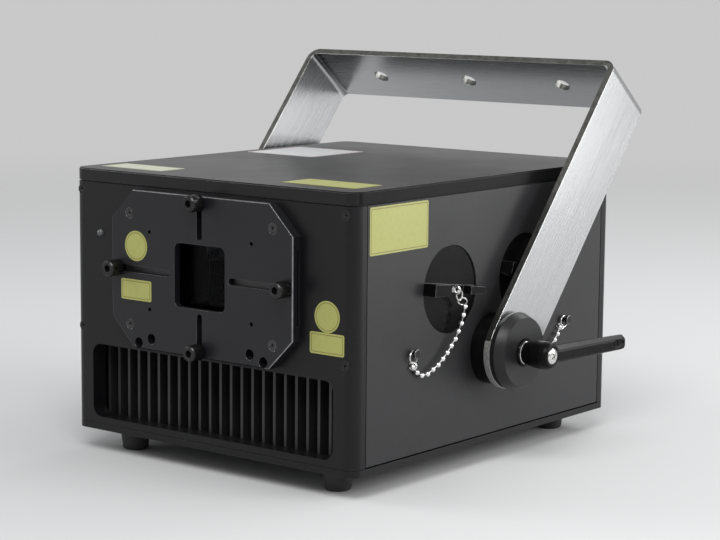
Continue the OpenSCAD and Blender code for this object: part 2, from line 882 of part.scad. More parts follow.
module fan_rotor() {
  translate([0, fan_y, 0]) {
    rod_y(1, 1 + fan_hub_len, fan_hub_d);
    rod_y(1 + fan_hub_len, fan_t, fan_shaft_d);
    intersection() {
      rod_y(1.5, fan_hub_len, fan_bore_d - 2);
      for (i = [0:fan_blade_count - 1]) rotate([0, i * 360 / fan_blade_count, 0])
        translate([0, 1 + fan_hub_len / 2, 0]) rotate([fan_blade_turn, 0, 0])
          translate([fan_hub_d / 2 - 2, -fan_hub_len * 0.6, -fan_blade_t / 2])
            cube([fan_bore_d / 2, fan_hub_len * 1.2, fan_blade_t]);
    }
  }
}

module fan_rotor_right() {
  color([0.1, 0.1, 0.1]) translate([fan_x, 0, fan_z]) fan_rotor();
}

module fan_rotor_left() {
  color([0.1, 0.1, 0.1]) translate([-fan_x, 0, fan_z]) fan_rotor();
}

// Sockets on the rear plate
socket_z = top_z - 55;
flange_t = 2;
flange_r = 3;
power_w = 28;
power_h = 32;
power_xs = [37 - side_x, 75 - side_x];
power_flange = 8;
power_bore_d = 23;
signal_d = 19;
signal_xs = [-12, 18, 48];
signal_flange = [26, 31];
signal_bore_d = 15;
key_x = side_x - 41;
key_z = socket_z;
key_barrel_d = 18;

module at_power_sockets() {
  for (x = power_xs) translate([x, 0, socket_z]) upright(rear_y - rear_t - 1, rear_t + 2) children();
}

module at_signal_sockets() {
  for (x = signal_xs) translate([x, 0, socket_z]) upright(rear_y - rear_t - 1, rear_t + 2) children();
}

module power_sockets() {
  color([0.1, 0.1, 0.12]) for (x = power_xs) translate([x, 0, socket_z]) difference() {
    union() {
      upright(rear_y - rear_t - 8, rear_t + 8) square([power_w, power_h], center = true);
      upright(rear_y, flange_t) round_rect(power_w + power_flange, power_h + power_flange, flange_r);
    }
    rod_y(rear_y - 14, rear_y + flange_t + 1, power_bore_d);
  }
}

module signal_sockets() {
  color([0.12, 0.12, 0.13]) for (x = signal_xs) translate([x, 0, socket_z]) difference() {
    union() {
      rod_y(rear_y - rear_t - 6, rear_y, signal_d);
      upright(rear_y, flange_t) round_rect(signal_flange[0], signal_flange[1], flange_r);
    }
    rod_y(rear_y - 10, rear_y + flange_t + 1, signal_bore_d);
  }
}

key_shaft_d = 8;
key_flange_t = 3;
key_flange_d = 22;
key_out = 20.2;
key_bow_d = 16;
key_t = 2.4;
key_depth = 13;

module key_barrel() {
  color([0.7, 0.7, 0.72]) translate([key_x, 0, key_z]) difference() {
    union() {
      rod_y(rear_y - rear_t - 10, rear_y, key_barrel_d);
      rod_y(rear_y, rear_y + key_flange_t, key_flange_d);
    }
    rod_y(rear_y - key_depth - gap, rear_y + key_flange_t + 1, key_shaft_d + 2 * fit);
  }
}

module key() {
  bow_y = rear_y + key_out - key_bow_d / 2;
  color([0.75, 0.75, 0.76]) translate([key_x, 0, key_z]) {
    rod_y(rear_y - key_depth, rear_y + key_flange_t + 3, key_shaft_d);
    translate([-key_t / 2, bow_y, 0]) rotate([0, 90, 0]) difference() {
      cylinder(h = key_t, d = key_bow_d);
      translate([0, key_bow_d / 4, -1]) cylinder(h = key_t + 2, d = 4.5);
    }
  }
}

// Service caps on the right side panel
module grip_2d() {
  polygon([[-grip_len / 2, -grip_w / 2], [grip_len / 2, -grip_tip_w / 2],
    [grip_len / 2, grip_tip_w / 2], [-grip_len / 2, grip_w / 2]]);
}

cap_face_x = side_x - cap_sink;
cap_back_x = cap_face_x - cap_disc_t;

module service_cap(y, a) {
  boss_x = side_x - side_t - 3;
  translate([0, y, cap_z]) rotate([a, 0, 0]) difference() {
    union() {
      rod_x(cap_back_x, cap_face_x, cap_seat_d - 2 * gap);
      rod_x(boss_x, cap_back_x + 1, cap_bore_d - 2 * gap);
      intersection() {
        translate([cap_face_x - 1, 0, 0]) rotate([90, 0, 90]) linear_extrude(grip_h + 1) grip_2d();
        rod_x(cap_face_x - 1, cap_face_x + grip_h, cap_seat_d - 2 * gap);
      }
    }
    translate([cap_face_x + notch_floor, -grip_notch / 2, -grip_w])
      cube([grip_h, grip_notch, 2 * grip_w]);
    rod_x(boss_x - 1, cap_face_x + grip_h, eye_post_d + 2 * fit);
  }
}

module service_cap_front() {
  color([0.14, 0.14, 0.15]) service_cap(cap_front_y, cap_angles[0]);
}

module service_cap_rear() {
  color([0.14, 0.14, 0.15]) service_cap(cap_rear_y, cap_angles[1]);
}

module cap_seals() {
  seal_x = side_x - cap_seat_depth;
  color([0.05, 0.05, 0.05]) for (y = cap_ys) translate([0, y, cap_z]) difference() {
    rod_x(seal_x, seal_x + cap_seal_t, cap_seat_d - 2);
    rod_x(seal_x - 1, seal_x + 1, cap_bore_d + 1);
  }
}

// Point at distance s along a route, as a fraction of its stretches
function leg(r, i) = norm(r[i + 1] - r[i]);
function upto(r, i) = i == 0 ? 0 : upto(r, i - 1) + leg(r, i - 1);
function stretch(r, s, i = 0) =
  i >= len(r) - 2 || upto(r, i + 1) >= s ? i : stretch(r, s, i + 1);
function along(r, s) =
  let (i = stretch(r, s), f = (s - upto(r, i)) / leg(r, i)) r[i] + (r[i + 1] - r[i]) * f;

module link(a, b, d) {
  v = b - a;
  translate(a) rotate([0, acos(v[2] / norm(v)), atan2(v[1], v[0])]) cylinder(h = norm(v), d = d, $fn = 16);
}

module bead_chain(route) {
  total = upto(route, len(route) - 1);
  n = floor(total / bead_pitch);
  step = total / n;
  for (i = [0:n]) translate(along(route, i * step)) sphere(d = bead_d, $fn = 24);
  for (i = [0:n - 1]) link(along(route, i * step), along(route, (i + 1) * step), link_d);
}

// Distance from what a ring hangs on to the middle of the chain's end bead below it
function cap_ring_reach() =
  cap_ring_d - (eye_d - eye_wire - ring_wire) / -2 - fit + ring_wire / 2 + bead_gap + bead_d / 2;
function screw_ring_reach() = screw_ring_d - chain_screw_d / 2 - fit + bead_gap + bead_d / 2;
function hung(x, y, z, reach, turn) = [x, y + reach * sin(turn), z - reach * cos(turn)];

module cap_chains() {
  hangs = [front_hang, rear_hang];
  color([0.75, 0.75, 0.74]) for (i = [0, 1]) {
    screw_y = i == 0 ? -chain_screw_y : chain_screw_y;
    start = hung(eye_x, cap_ys[i], cap_z, cap_ring_reach(), cap_ring_turns[i]);
    end = hung(side_x + chain_low, screw_y, chain_screw_z, screw_ring_reach(), screw_ring_turns[i]);
    bead_chain(concat([start], [for (p = hangs[i]) p + [side_x, cap_ys[i], cap_z]], [end]));
  }
}

module wire_ring(d, wire) {
  rotate_extrude($fn = 48) translate([d / 2, 0]) circle(d = wire, $fn = 16);
}

// A ring in the plane of the side panel, its middle hung at a distance from the local origin
module hung_ring(d, drop, turn) {
  rotate([turn, 0, 0]) translate([0, 0, -drop]) rotate([0, 90, 0]) wire_ring(d, ring_wire);
}

// Each cap's eye turns freely in the cap and carries a ring, and each screw carries one
module chain_rings() {
  cap_drop = cap_ring_d / 2 + (eye_d - eye_wire - ring_wire) / 2 - fit;
  screw_drop = screw_ring_d / 2 - ring_wire / 2 - chain_screw_d / 2 - fit;
  color([0.75, 0.75, 0.74]) for (i = [0, 1]) {
    translate([0, cap_ys[i], cap_z]) {
      rod_x(cap_back_x + 1, eye_x - eye_d / 2, eye_post_d);
      translate([eye_x, 0, 0]) {
        rotate([90, 0, 0]) wire_ring(eye_d, eye_wire);
        hung_ring(cap_ring_d, cap_drop, cap_ring_turns[i]);
      }
    }
    translate([side_x + chain_low, (i * 2 - 1) * chain_screw_y, chain_screw_z])
      hung_ring(screw_ring_d, screw_drop, screw_ring_turns[i]);
  }
}

module chain_screws() {
  color([0.2, 0.2, 0.2]) for (s = [-1, 1]) translate([0, s * chain_screw_y, chain_screw_z]) {
    rod_x(side_x - side_t, side_x + chain_neck, chain_screw_d);
    rod_x(side_x + chain_neck, side_x + chain_neck + chain_head_t, chain_head_d);
  }
}

// Blank stickers. Each is its middle, then its width and height
sticker_t = 0.2;
sticker_r = 1.5;
dot_d = 22;
strip = [30, 15];
plate_dot = [-61.5, 17];
plate_strip = [-61.5, -15];
front_sticker_x = (oct_w / 2 + side_x) / 2;
front_dot = [front_sticker_x, -17];
front_strip = [front_sticker_x, -35.6];
side_sticker = [front_y + 48.5, top_z - 27.8, 65.4, 33];
lid_stickers = [[side_x - 48.5, front_y + 34.5, 65, 31], [41 - side_x, front_y + 30.5, 60, 27],
  [44 - side_x, 54, 67, 66]];

module stickers() {
  color([0.93, 0.86, 0.3]) {
    translate([0, 0, beam_z]) {
      upright(oct_y - sticker_t, sticker_t) {
        translate(plate_dot) circle(d = dot_d);
        translate(plate_strip) round_rect(strip[0], strip[1], sticker_r);
      }
      upright(front_y - sticker_t, sticker_t) {
        translate(front_dot) circle(d = dot_d);
        translate(front_strip) round_rect(strip[0], strip[1], sticker_r);
      }
    }
    translate([side_x, side_sticker[0], side_sticker[1]]) rotate([90, 0, 90])
      linear_extrude(sticker_t) round_rect(side_sticker[2], side_sticker[3], sticker_r);
    translate([0, 0, top_z]) linear_extrude(sticker_t) for (p = lid_stickers)
      translate([p[0], p[1]]) round_rect(p[2], p[3], sticker_r);
  }
}

// Pivot parts
module pivot_spacers() {
  color([0.09, 0.09, 0.1]) both_sides() translate([0, 0, pivot_z]) difference() {
    rod_x(side_x, arm_x - fit, spacer_d);
    rod_x(side_x - 1, arm_x + 1, stud_d + 2 * hole_gap);
  }
}

module bend() {
  outer = yoke_bend_r + yoke_t;
  translate([arm_x - yoke_bend_r, yoke_w / 2, yoke_reach - outer]) rotate([90, 0, 0])
    rotate_extrude(angle = 90) translate([yoke_bend_r, 0]) square([yoke_t, yoke_w]);
}

module yoke() {
  outer = yoke_bend_r + yoke_t;
  color([0.78, 0.78, 0.76]) translate([0, 0, pivot_z]) rotate([-yoke_lean, 0, 0]) difference() {
    union() {
      both_sides() {
        rod_x(arm_x, arm_out, yoke_w);
        translate([arm_x, -yoke_w / 2, 0]) cube([yoke_t, yoke_w, yoke_reach - outer]);
        bend();
      }
      translate([-(arm_x - yoke_bend_r), -yoke_w / 2, yoke_reach - yoke_t])
        cube([2 * (arm_x - yoke_bend_r), yoke_w, yoke_t]);
    }
    rod_x(-arm_out - 1, arm_out + 1, stud_d + 2 * hole_gap);
    for (i = [-1:1]) translate([i * yoke_hole_pitch, 0, yoke_reach - yoke_t - 1])
      cylinder(h = yoke_t + 2, d = yoke_hole_d);
  }
}

module clamp_discs() {
  color([0.1, 0.1, 0.11]) both_sides() translate([0, 0, pivot_z]) difference() {
    union() {
      rod_x(arm_out, disc_out - disc_bevel_len, disc_d);
      translate([disc_out - disc_bevel_len, 0, 0]) rotate([0, 90, 0])
        cylinder(h = disc_bevel_len, d1 = disc_d, d2 = disc_d - 2 * disc_bevel);
    }
    rod_x(arm_out - 1, disc_out + 1, stud_d + 2 * hole_gap);
  }
}

// Stud with its steel collar and the toothed part that the handle sits on
module stud() {
  translate([0, 0, pivot_z]) difference() {
    union() {
      rod_x(stud_low_x, disc_out + 1, stud_d);
      rod_x(disc_out + gap, disc_out + gap + collar_t, collar_d);
      rod_x(disc_out + 1, serration_out, serration_d);
    }
    rod_x(serration_out - 8, serration_out + 1, screw_shank_d + 2 * fit);
  }
}

module stud_right() { color([0.75, 0.75, 0.74]) stud(); }
module stud_left() { color([0.75, 0.75, 0.74]) mirror([1, 0, 0]) stud(); }

// Round-headed screw with a cross recess, which holds the handle in against its spring
module handle_screw() {
  translate([0, 0, pivot_z]) difference() {
    union() {
      rod_x(serration_out - 7, screw_seat_x, screw_shank_d);
      rod_x(screw_seat_x, screw_out - screw_dome, screw_head_d);
      translate([screw_out - screw_dome, 0, 0]) rotate([0, 90, 0])
        cylinder(h = screw_dome, d1 = screw_head_d, d2 = screw_head_d - 3 * screw_dome);
    }
    for (a = [0, 90]) rotate([a, 0, 0])
      translate([screw_out - cross_depth, -cross_len / 2, -cross_w / 2])
        cube([cross_depth + 1, cross_len, cross_w]);
  }
}

module handle_screw_right() { color([0.8, 0.8, 0.78]) handle_screw(); }
module handle_screw_left() { color([0.8, 0.8, 0.78]) mirror([1, 0, 0]) handle_screw(); }

lever_root_h = 12.2;
lever_tip_h = 11;
lever_bar_t = 8;
lever_corner = 2;
lever_lean = 5;
handle_x = hub_out - hub_cap_t;

// The handle's bar seen from the side, with cut corners at its tip
module lever_bar_2d() {
  polygon([[0, -lever_root_h / 2], [handle_len - lever_corner, -lever_tip_h / 2],
    [handle_len, lever_corner - lever_tip_h / 2], [handle_len, lever_tip_h / 2 - lever_corner],
    [handle_len - lever_corner, lever_tip_h / 2], [0, lever_root_h / 2]]);
}

module handle() {
  translate([0, 0, pivot_z]) difference() {
    union() {
      rod_x(hub_x, handle_x, hub_d);
      translate([handle_x, 0, 0]) rotate([0, 90, 0])
        cylinder(h = hub_cap_t, d1 = hub_d, d2 = hub_d - hub_cap_t);
      translate([handle_x, 0, 0]) rotate([0, 0, -lever_lean]) translate([-lever_bar_t / 2, 0, 0])
        rotate([90, 0, 90]) linear_extrude(lever_bar_t) lever_bar_2d();
    }
    rod_x(hub_x - 1, serration_out + 0.5, serration_d + 2 * fit);
    rod_x(serration_out, hub_out, screw_shank_d + 2 * hole_gap);
    rod_x(spring_floor_x, hub_out + 9, screw_head_d + 2 * fit);
  }
}

module handle_right() { color([0.08, 0.08, 0.09]) handle(); }
module handle_left() { color([0.08, 0.08, 0.09]) mirror([1, 0, 0]) handle(); }

bottom_plate();
front_plate();
rear_plate();
side_panel_right();
side_panel_left();
lid();
lid_gasket();
lid_screws();
plate_screws();
feet();
foot_screws();
aperture_plate();
blade_guide();
aperture_screws();
window_glass();
window_gasket();
indicator_lamp();
cooling_bench();
side_rails();
laser_modules();
mirror_mounts();
combining_mirrors();
scanner_block();
scanner_motors();
driver_board();
control_board();
power_supply();
fan_frames();
pivot_spacers();
power_sockets();
signal_sockets();
key_barrel();
key();
cap_seals();
cap_chains();
chain_rings();
chain_screws();
stickers();
yoke();
clamp_discs();
stud_right();
stud_left();
handle_right();
handle_left();
handle_screw_right();
handle_screw_left();
blade_right();
blade_left();
blade_upper();
blade_lower();
thumbscrew_right();
thumbscrew_left();
thumbscrew_upper();
thumbscrew_lower();
service_cap_front();
service_cap_rear();
fan_rotor_right();
fan_rotor_left();
scan_mirror_x();
scan_mirror_y();
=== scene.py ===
import math

import bmesh
import bpy
from mathutils import Matrix, Vector


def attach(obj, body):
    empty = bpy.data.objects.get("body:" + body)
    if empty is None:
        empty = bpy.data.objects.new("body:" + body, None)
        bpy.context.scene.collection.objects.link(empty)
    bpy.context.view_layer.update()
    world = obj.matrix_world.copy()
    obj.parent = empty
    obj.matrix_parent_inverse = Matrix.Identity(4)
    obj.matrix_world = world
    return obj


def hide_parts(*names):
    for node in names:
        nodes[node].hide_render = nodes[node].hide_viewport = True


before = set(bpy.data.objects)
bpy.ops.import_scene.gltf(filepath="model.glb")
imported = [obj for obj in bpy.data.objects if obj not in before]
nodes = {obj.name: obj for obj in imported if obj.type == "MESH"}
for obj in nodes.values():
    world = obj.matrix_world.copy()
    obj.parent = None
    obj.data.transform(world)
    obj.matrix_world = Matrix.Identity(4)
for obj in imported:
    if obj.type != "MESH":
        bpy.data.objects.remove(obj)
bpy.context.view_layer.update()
MM = 0.001


# Camera and studio. The camera stands to the front right of the projector, a little
# above its lid, with a long lens. Floor and backdrop are plain and pale.
CAMERA_AT = Vector((1.00758, -1.2588, 0.36251))
CAMERA_TURN = math.radians(38.378)
CAMERA_DROP = math.radians(8.191)
CAMERA_ROLL = math.radians(0.496)
LENS_MM = 106.52
FILM_MM = 36
SEES_TO = 50
# The floor is a plain disc that fades out between two distances from the projector
FLOOR_RADIUS = 6.0
FLOOR_SIDES = 96
FLOOR_GREY = 0.6
FADE_FROM = 0.7
FADE_TO = 2.6
BACKDROP_GREY = 0.58
FILL = 0.42
FILL_TINT = (0.95, 0.97, 1.0)
# Name, width and height, place, what it aims at, watts
SOFTBOXES = [
    ("top_light", (1.6, 1.2), (0.9, -1.5, 2.1), (0, -0.1, 0.12), 42),
    ("side_light", (1.5, 1.3), (2.3, 0.7, 1.3), (0.12, 0.05, 0.13), 34),
    ("left_light", (1.2, 1.4), (-2.2, -1.2, 1.2), (0, -0.1, 0.12), 22),
    ("arm_light", (0.34, 0.8), (1.02, 1.02, 0.46), (0.17, 0.05, 0.26), 5.0),
    ("back_light", (1.8, 0.8), (0.2, 2.0, 1.75), (0, 0, 0.15), 18),
]


def camera_axes(turn, drop, roll):
    """Right, up and back of a camera turned to the side, tipped down and rolled."""
    back = Vector((math.sin(turn) * math.cos(drop), -math.cos(turn) * math.cos(drop), math.sin(drop)))
    right = Vector((0, 0, 1)).cross(back).normalized()
    up = back.cross(right)
    rolled_right = right * math.cos(roll) + up * math.sin(roll)
    rolled_up = up * math.cos(roll) - right * math.sin(roll)
    return Matrix((rolled_right, rolled_up, back)).transposed()


camera_data = bpy.data.cameras.new("camera")
camera_data.lens = LENS_MM
camera_data.sensor_width = FILM_MM
camera_data.clip_end = SEES_TO
camera = bpy.data.objects.new("camera", camera_data)
camera.matrix_world = Matrix.Translation(CAMERA_AT) @ camera_axes(
    CAMERA_TURN, CAMERA_DROP, CAMERA_ROLL).to_4x4()
bpy.context.scene.collection.objects.link(camera)
bpy.context.scene.camera = camera
bpy.context.scene.view_settings.view_transform = "Standard"


def object_from(work, name):
    """A mesh object made of what the bmesh holds."""
    mesh = bpy.data.meshes.new(name)
    work.to_mesh(mesh)
    work.free()
    piece = bpy.data.objects.new(name, mesh)
    bpy.context.scene.collection.objects.link(piece)
    return piece


def new_material(name):
    material = bpy.data.materials.new(name)
    material.use_nodes = True
    tree = material.node_tree
    return material, tree, tree.nodes["Principled BSDF"]


def plug(tree, source, target):
    tree.links.new(source, target)


def softbox(name, size, place, aim, watts):
    lamp = bpy.data.lights.new(name, "AREA")
    lamp.shape = "RECTANGLE"
    lamp.size, lamp.size_y = size
    lamp.energy = watts
    holder = bpy.data.objects.new(name, lamp)
    holder.location = place
    holder.rotation_euler = (Vector(aim) - Vector(place)).to_track_quat("-Z", "Y").to_euler()
    holder.visible_camera = False
    bpy.context.scene.collection.objects.link(holder)


def faded_floor():
    """The floor grows clear with distance, so that it runs into the backdrop without an edge."""
    work = bmesh.new()
    bmesh.ops.create_circle(work, cap_ends=True, segments=FLOOR_SIDES, radius=FLOOR_RADIUS)
    floor = object_from(work, "floor")
    paint, tree, shader = new_material("floor_paint")
    shader.inputs["Base Color"].default_value = (FLOOR_GREY, FLOOR_GREY, FLOOR_GREY, 1)
    shader.inputs["Roughness"].default_value = 0.95
    shader.inputs["Specular IOR Level"].default_value = 0.05
    place = tree.nodes.new("ShaderNodeTexCoord")
    reach = tree.nodes.new("ShaderNodeVectorMath")
    reach.operation = "LENGTH"
    plug(tree, place.outputs["Object"], reach.inputs[0])
    fade = tree.nodes.new("ShaderNodeMapRange")
    fade.interpolation_type = "SMOOTHSTEP"
    fade.inputs["From Min"].default_value = FADE_FROM
    fade.inputs["From Max"].default_value = FADE_TO
    plug(tree, reach.outputs["Value"], fade.inputs["Value"])
    clear = tree.nodes.new("ShaderNodeBsdfTransparent")
    mix = tree.nodes.new("ShaderNodeMixShader")
    plug(tree, fade.outputs["Result"], mix.inputs[0])
    plug(tree, shader.outputs[0], mix.inputs[1])
    plug(tree, clear.outputs[0], mix.inputs[2])
    plug(tree, mix.outputs[0], tree.nodes["Material Output"].inputs["Surface"])
    floor.data.materials.append(paint)


def backdrop():
    """A pale grey to the camera, to metal and to glass, and a soft fill to all else."""
    world = bpy.data.worlds.new("studio")
    bpy.context.scene.world = world
    world.use_nodes = True
    tree = world.node_tree
    tree.nodes.clear()
    seen = tree.nodes.new("ShaderNodeBackground")
    seen.inputs["Color"].default_value = (BACKDROP_GREY, BACKDROP_GREY, BACKDROP_GREY, 1)
    fill = tree.nodes.new("ShaderNodeBackground")
    fill.inputs["Color"].default_value = (*FILL_TINT, 1)
    fill.inputs["Strength"].default_value = FILL
    path = tree.nodes.new("ShaderNodeLightPath")
    seen_by = path.outputs["Is Camera Ray"]
    for ray in ("Is Glossy Ray", "Is Transmission Ray"):
        either = tree.nodes.new("ShaderNodeMath")
        either.operation = "MAXIMUM"
        plug(tree, seen_by, either.inputs[0])
        plug(tree, path.outputs[ray], either.inputs[1])
        seen_by = either.outputs[0]
    mix = tree.nodes.new("ShaderNodeMixShader")
    plug(tree, seen_by, mix.inputs[0])
    plug(tree, fill.outputs[0], mix.inputs[1])
    plug(tree, seen.outputs[0], mix.inputs[2])
    out = tree.nodes.new("ShaderNodeOutputWorld")
    plug(tree, mix.outputs[0], out.inputs[0])


faded_floor()
backdrop()
for lamp_facts in SOFTBOXES:
    softbox(*lamp_facts)


# Case. Lid, front, rear, side and bottom plates are cut from aluminium plate, milled,
# bead blasted and anodised black. Every edge is broken before the plates are anodised.
# Handling has worn the lid's front and rear edges bare. Along its long edges the broken edge keeps
# the lid's own finish, and its long sides take a darker, less shiny copy of it: painted shade.
CHAMFER_MM = 0.6
SHARP_ABOVE = math.radians(32)
FLAT_WITHIN = math.radians(0.6)
FLAT_WEIGHT = 80
# Metres: corners this close are one, and points this close are level
WELD_WITHIN = 2e-6
LEVEL_WITHIN = 1e-6
# Ends of the side panels, top of the bottom plate, width of the seams beside them
PANEL_ENDS = 147.0
PANEL_LOW = 22.0
SEAM = 0.8
ON_PLANE = 0.01
# How far sideways a face of the lid turns at a bare edge at most, and on a long side at least,
# and the place in its list of the long sides' darker finish, which paints shade on them
BARE_WITHIN = 0.4
SHADED_FLANK_FROM = 0.9
SHADED_FLANK_PLACE = 2


def mark_outline(work, facing):
    """Marks the outer edge of the side that faces a direction, for a milled chamfer."""
    marks = work.edges.layers.float.new("bevel_weight_edge")
    far = max(vert.co.dot(facing) for vert in work.verts)
    flat = {vert for vert in work.verts if far - vert.co.dot(facing) < LEVEL_WITHIN}
    for edge in work.edges:
        one, two = edge.verts
        if one in flat and two in flat:
            across = facing.cross(two.co - one.co).normalized()
            least = most = 0.0
            for vert in flat:
                off = across.dot(vert.co - one.co)
                least, most = min(least, off), max(most, off)
                if least < -LEVEL_WITHIN and most > LEVEL_WITHIN:
                    break
            else:
                edge[marks] = 1.0


def settle(piece):
    """Turns the piece's modifiers into its mesh."""
    graph = bpy.context.evaluated_depsgraph_get()
    done = bpy.data.meshes.new_from_object(piece.evaluated_get(graph), depsgraph=graph)
    piece.modifiers.clear()
    piece.data = done


def edged(node, width_mm, steps=2, reshape=None, chamfer=None):
    """A copy of a CAD piece with its sharp edges broken to a small radius."""
    piece = bpy.data.objects.new(node + "_edged", nodes[node].data.copy())
    bpy.context.scene.collection.objects.link(piece)
    piece.data.materials.clear()
    for _ in range(2):
        piece.data.materials.append(None)
    work = bmesh.new()
    work.from_mesh(piece.data)
    bmesh.ops.remove_doubles(work, verts=work.verts, dist=WELD_WITHIN)
    bmesh.ops.dissolve_limit(work, angle_limit=FLAT_WITHIN, verts=work.verts, edges=work.edges)
    for face in work.faces:
        face.smooth = True
    if reshape:
        for vert in work.verts:
            reshape(vert.co)
    if chamfer:
        mark_outline(work, Vector(chamfer))
        milled = piece.modifiers.new("milled_chamfer", "BEVEL")
        milled.limit_method = "WEIGHT"
        milled.width = CHAMFER_MM * MM
        milled.segments = 1
        milled.material = 1
    work.to_mesh(piece.data)
    work.free()
    bevel = piece.modifiers.new("broken_edge", "BEVEL")
    bevel.width = width_mm * MM
    bevel.segments = steps
    bevel.limit_method = "ANGLE"
    bevel.angle_limit = SHARP_ABOVE
    bevel.use_clamp_overlap = True
    bevel.material = 1
    even = piece.modifiers.new("flat_faces", "WEIGHTED_NORMAL")
    even.keep_sharp = True
    even.weight = FLAT_WEIGHT
    settle(piece)
    return piece


def dress(piece, material, body=None, replaced=None, rim=None):
    """Gives a piece its material and, where it is a new one, its body, and hides the CAD node it replaces.

    A piece with two places for materials takes the finish of its edges in the second.
    """
    if len(piece.data.materials) == 2:
        piece.data.materials[0] = material
        piece.data.materials[1] = rim or material
    else:
        piece.data.materials.clear()
        piece.data.materials.append(material)
    if body:
        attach(piece, body)
    if replaced:
        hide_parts(replaced)


def speckled(name, dark, light, rough, metal=0.0, grain=1500, bump=0.05, shine=0.5, drift=0.05):
    """Fine speckle over slow smudges: colour from one, roughness from the other."""
    material, tree, shader = new_material(name)
    place = tree.nodes.new("ShaderNodeTexCoord")
    fine = tree.nodes.new("ShaderNodeTexNoise")
    fine.inputs["Scale"].default_value = grain
    fine.inputs["Detail"].default_value = 4
    plug(tree, place.outputs["Object"], fine.inputs["Vector"])
    tint = tree.nodes.new("ShaderNodeValToRGB")
    tint.color_ramp.elements[0].position = 0.3
    tint.color_ramp.elements[0].color = (*dark, 1)
    tint.color_ramp.elements[1].position = 0.72
    tint.color_ramp.elements[1].color = (*light, 1)
    plug(tree, fine.outputs["Fac"], tint.inputs["Fac"])
    plug(tree, tint.outputs["Color"], shader.inputs["Base Color"])
    slow = tree.nodes.new("ShaderNodeTexNoise")
    slow.inputs["Scale"].default_value = 22
    slow.inputs["Detail"].default_value = 5
    slow.inputs["Roughness"].default_value = 0.6
    plug(tree, place.outputs["Object"], slow.inputs["Vector"])
    spread = tree.nodes.new("ShaderNodeMapRange")
    spread.inputs["From Min"].default_value = 0.3
    spread.inputs["From Max"].default_value = 0.7
    spread.inputs["To Min"].default_value = rough - drift
    spread.inputs["To Max"].default_value = rough + drift
    plug(tree, slow.outputs["Fac"], spread.inputs["Value"])
    plug(tree, spread.outputs["Result"], shader.inputs["Roughness"])
    relief = tree.nodes.new("ShaderNodeBump")
    relief.inputs["Strength"].default_value = bump
    relief.inputs["Distance"].default_value = 0.0002
    plug(tree, fine.outputs["Fac"], relief.inputs["Height"])
    plug(tree, relief.outputs["Normal"], shader.inputs["Normal"])
    shader.inputs["Metallic"].default_value = metal
    shader.inputs["Specular IOR Level"].default_value = shine
    return material


def leave_seam(point):
    """Holds the side panels a little back from the plates round them."""
    if abs(abs(point.y) / MM - PANEL_ENDS) < ON_PLANE:
        point.y -= math.copysign(SEAM * MM, point.y)
    if abs(point.z / MM - PANEL_LOW) < ON_PLANE:
        point.z += SEAM * MM


def lower_top(point):
    """Leaves a fine seam between the bottom plate and the plates on it."""
    if abs(point.z / MM - PANEL_LOW) < ON_PLANE:
        point.z -= SEAM / 2 * MM


case_finish = speckled("case_anodised", (0.003, 0.003, 0.0035), (0.007, 0.007, 0.0082), 0.38, shine=0.26)
# A lighter copy of the black anodised finish for the side panels: painted light, for the light that falls on
# them
side_painted_light_finish = speckled("side_anodised_painted_light", (0.0145, 0.0145, 0.0155), (0.0235, 0.0235, 0.025), 0.42, shine=0.32)
lid_finish = speckled("lid_anodised", (0.004, 0.004, 0.0045), (0.008, 0.008, 0.009), 0.32,
                      drift=0.02, shine=0.3)
# A darker, less shiny copy of the lid's finish for its long sides: painted shade
flank_painted_shade_finish = speckled("flank_anodised_painted_shade", (0.003, 0.003, 0.0035), (0.0055, 0.0055, 0.0062), 0.42, shine=0.1)
worn_edge = speckled("worn_edge", (0.04, 0.04, 0.042), (0.34, 0.34, 0.35), 0.26, metal=0.8, grain=260)
bare_edge = speckled("bare_edge", (0.17, 0.17, 0.175), (0.3, 0.3, 0.31), 0.2, metal=0.9, grain=200)
dull_edge = speckled("dull_edge", (0.008, 0.008, 0.009), (0.05, 0.05, 0.053), 0.34, metal=0.3, grain=260)
# Radius of its broken edges, finish, what reshapes it, finish of its edges
CASE_PLATES = {
    "lid": (0.95, lid_finish, None, bare_edge),
    "front_plate": (0.5, case_finish, None, dull_edge),
    "rear_plate": (0.5, case_finish, None, dull_edge),
    "side_panel_right": (0.35, side_painted_light_finish, leave_seam, dull_edge),
    "side_panel_left": (0.35, side_painted_light_finish, leave_seam, dull_edge),
    "bottom_plate": (0.5, case_finish, lower_top, dull_edge),
}
for plate, (broken, finish, reshape, rim) in CASE_PLATES.items():
    piece = edged(plate, broken, reshape=reshape)
    dress(piece, finish, "case", plate, rim=rim)
    if plate == "lid":
        # The long sides take the darker copy, painted shade; the long edges keep the lid's own finish
        piece.data.materials.append(flank_painted_shade_finish)
        for face in piece.data.polygons:
            if abs(face.normal.x) > BARE_WITHIN:
                face.material_index = SHADED_FLANK_PLACE if abs(face.normal.x) > SHADED_FLANK_FROM else 0


# Case screws. Countersunk M4 hexagon socket screws, black oxide steel, twelve in the lid
# and eight in the front and rear plates. Their heads sit flush.
screw_finish = speckled("screw_oxide", (0.012, 0.012, 0.012), (0.03, 0.03, 0.03), 0.32, metal=0.7)
for screws in ("lid_screws", "plate_screws"):
    dress(edged(screws, 0.3), screw_finish, "case", screws, rim=dull_edge)


# Feet. Four tapered feet moulded in black rubber, each held by a screw from below.
# The rim on the floor is rounded, and the bore hides the screw head.
FOOT_PLACES = [(98, -133), (98, 133), (-98, -133), (-98, 133)]
# Height above the floor, then radius
FOOT_OUTLINE = [(0, 4.6), (0, 8.3), (0.5, 9.0), (1.7, 9.6), (15.9, 11.3), (16.7, 11.4), (17, 11.1),
                (17, 2.1), (12, 2.1), (12, 4.6)]


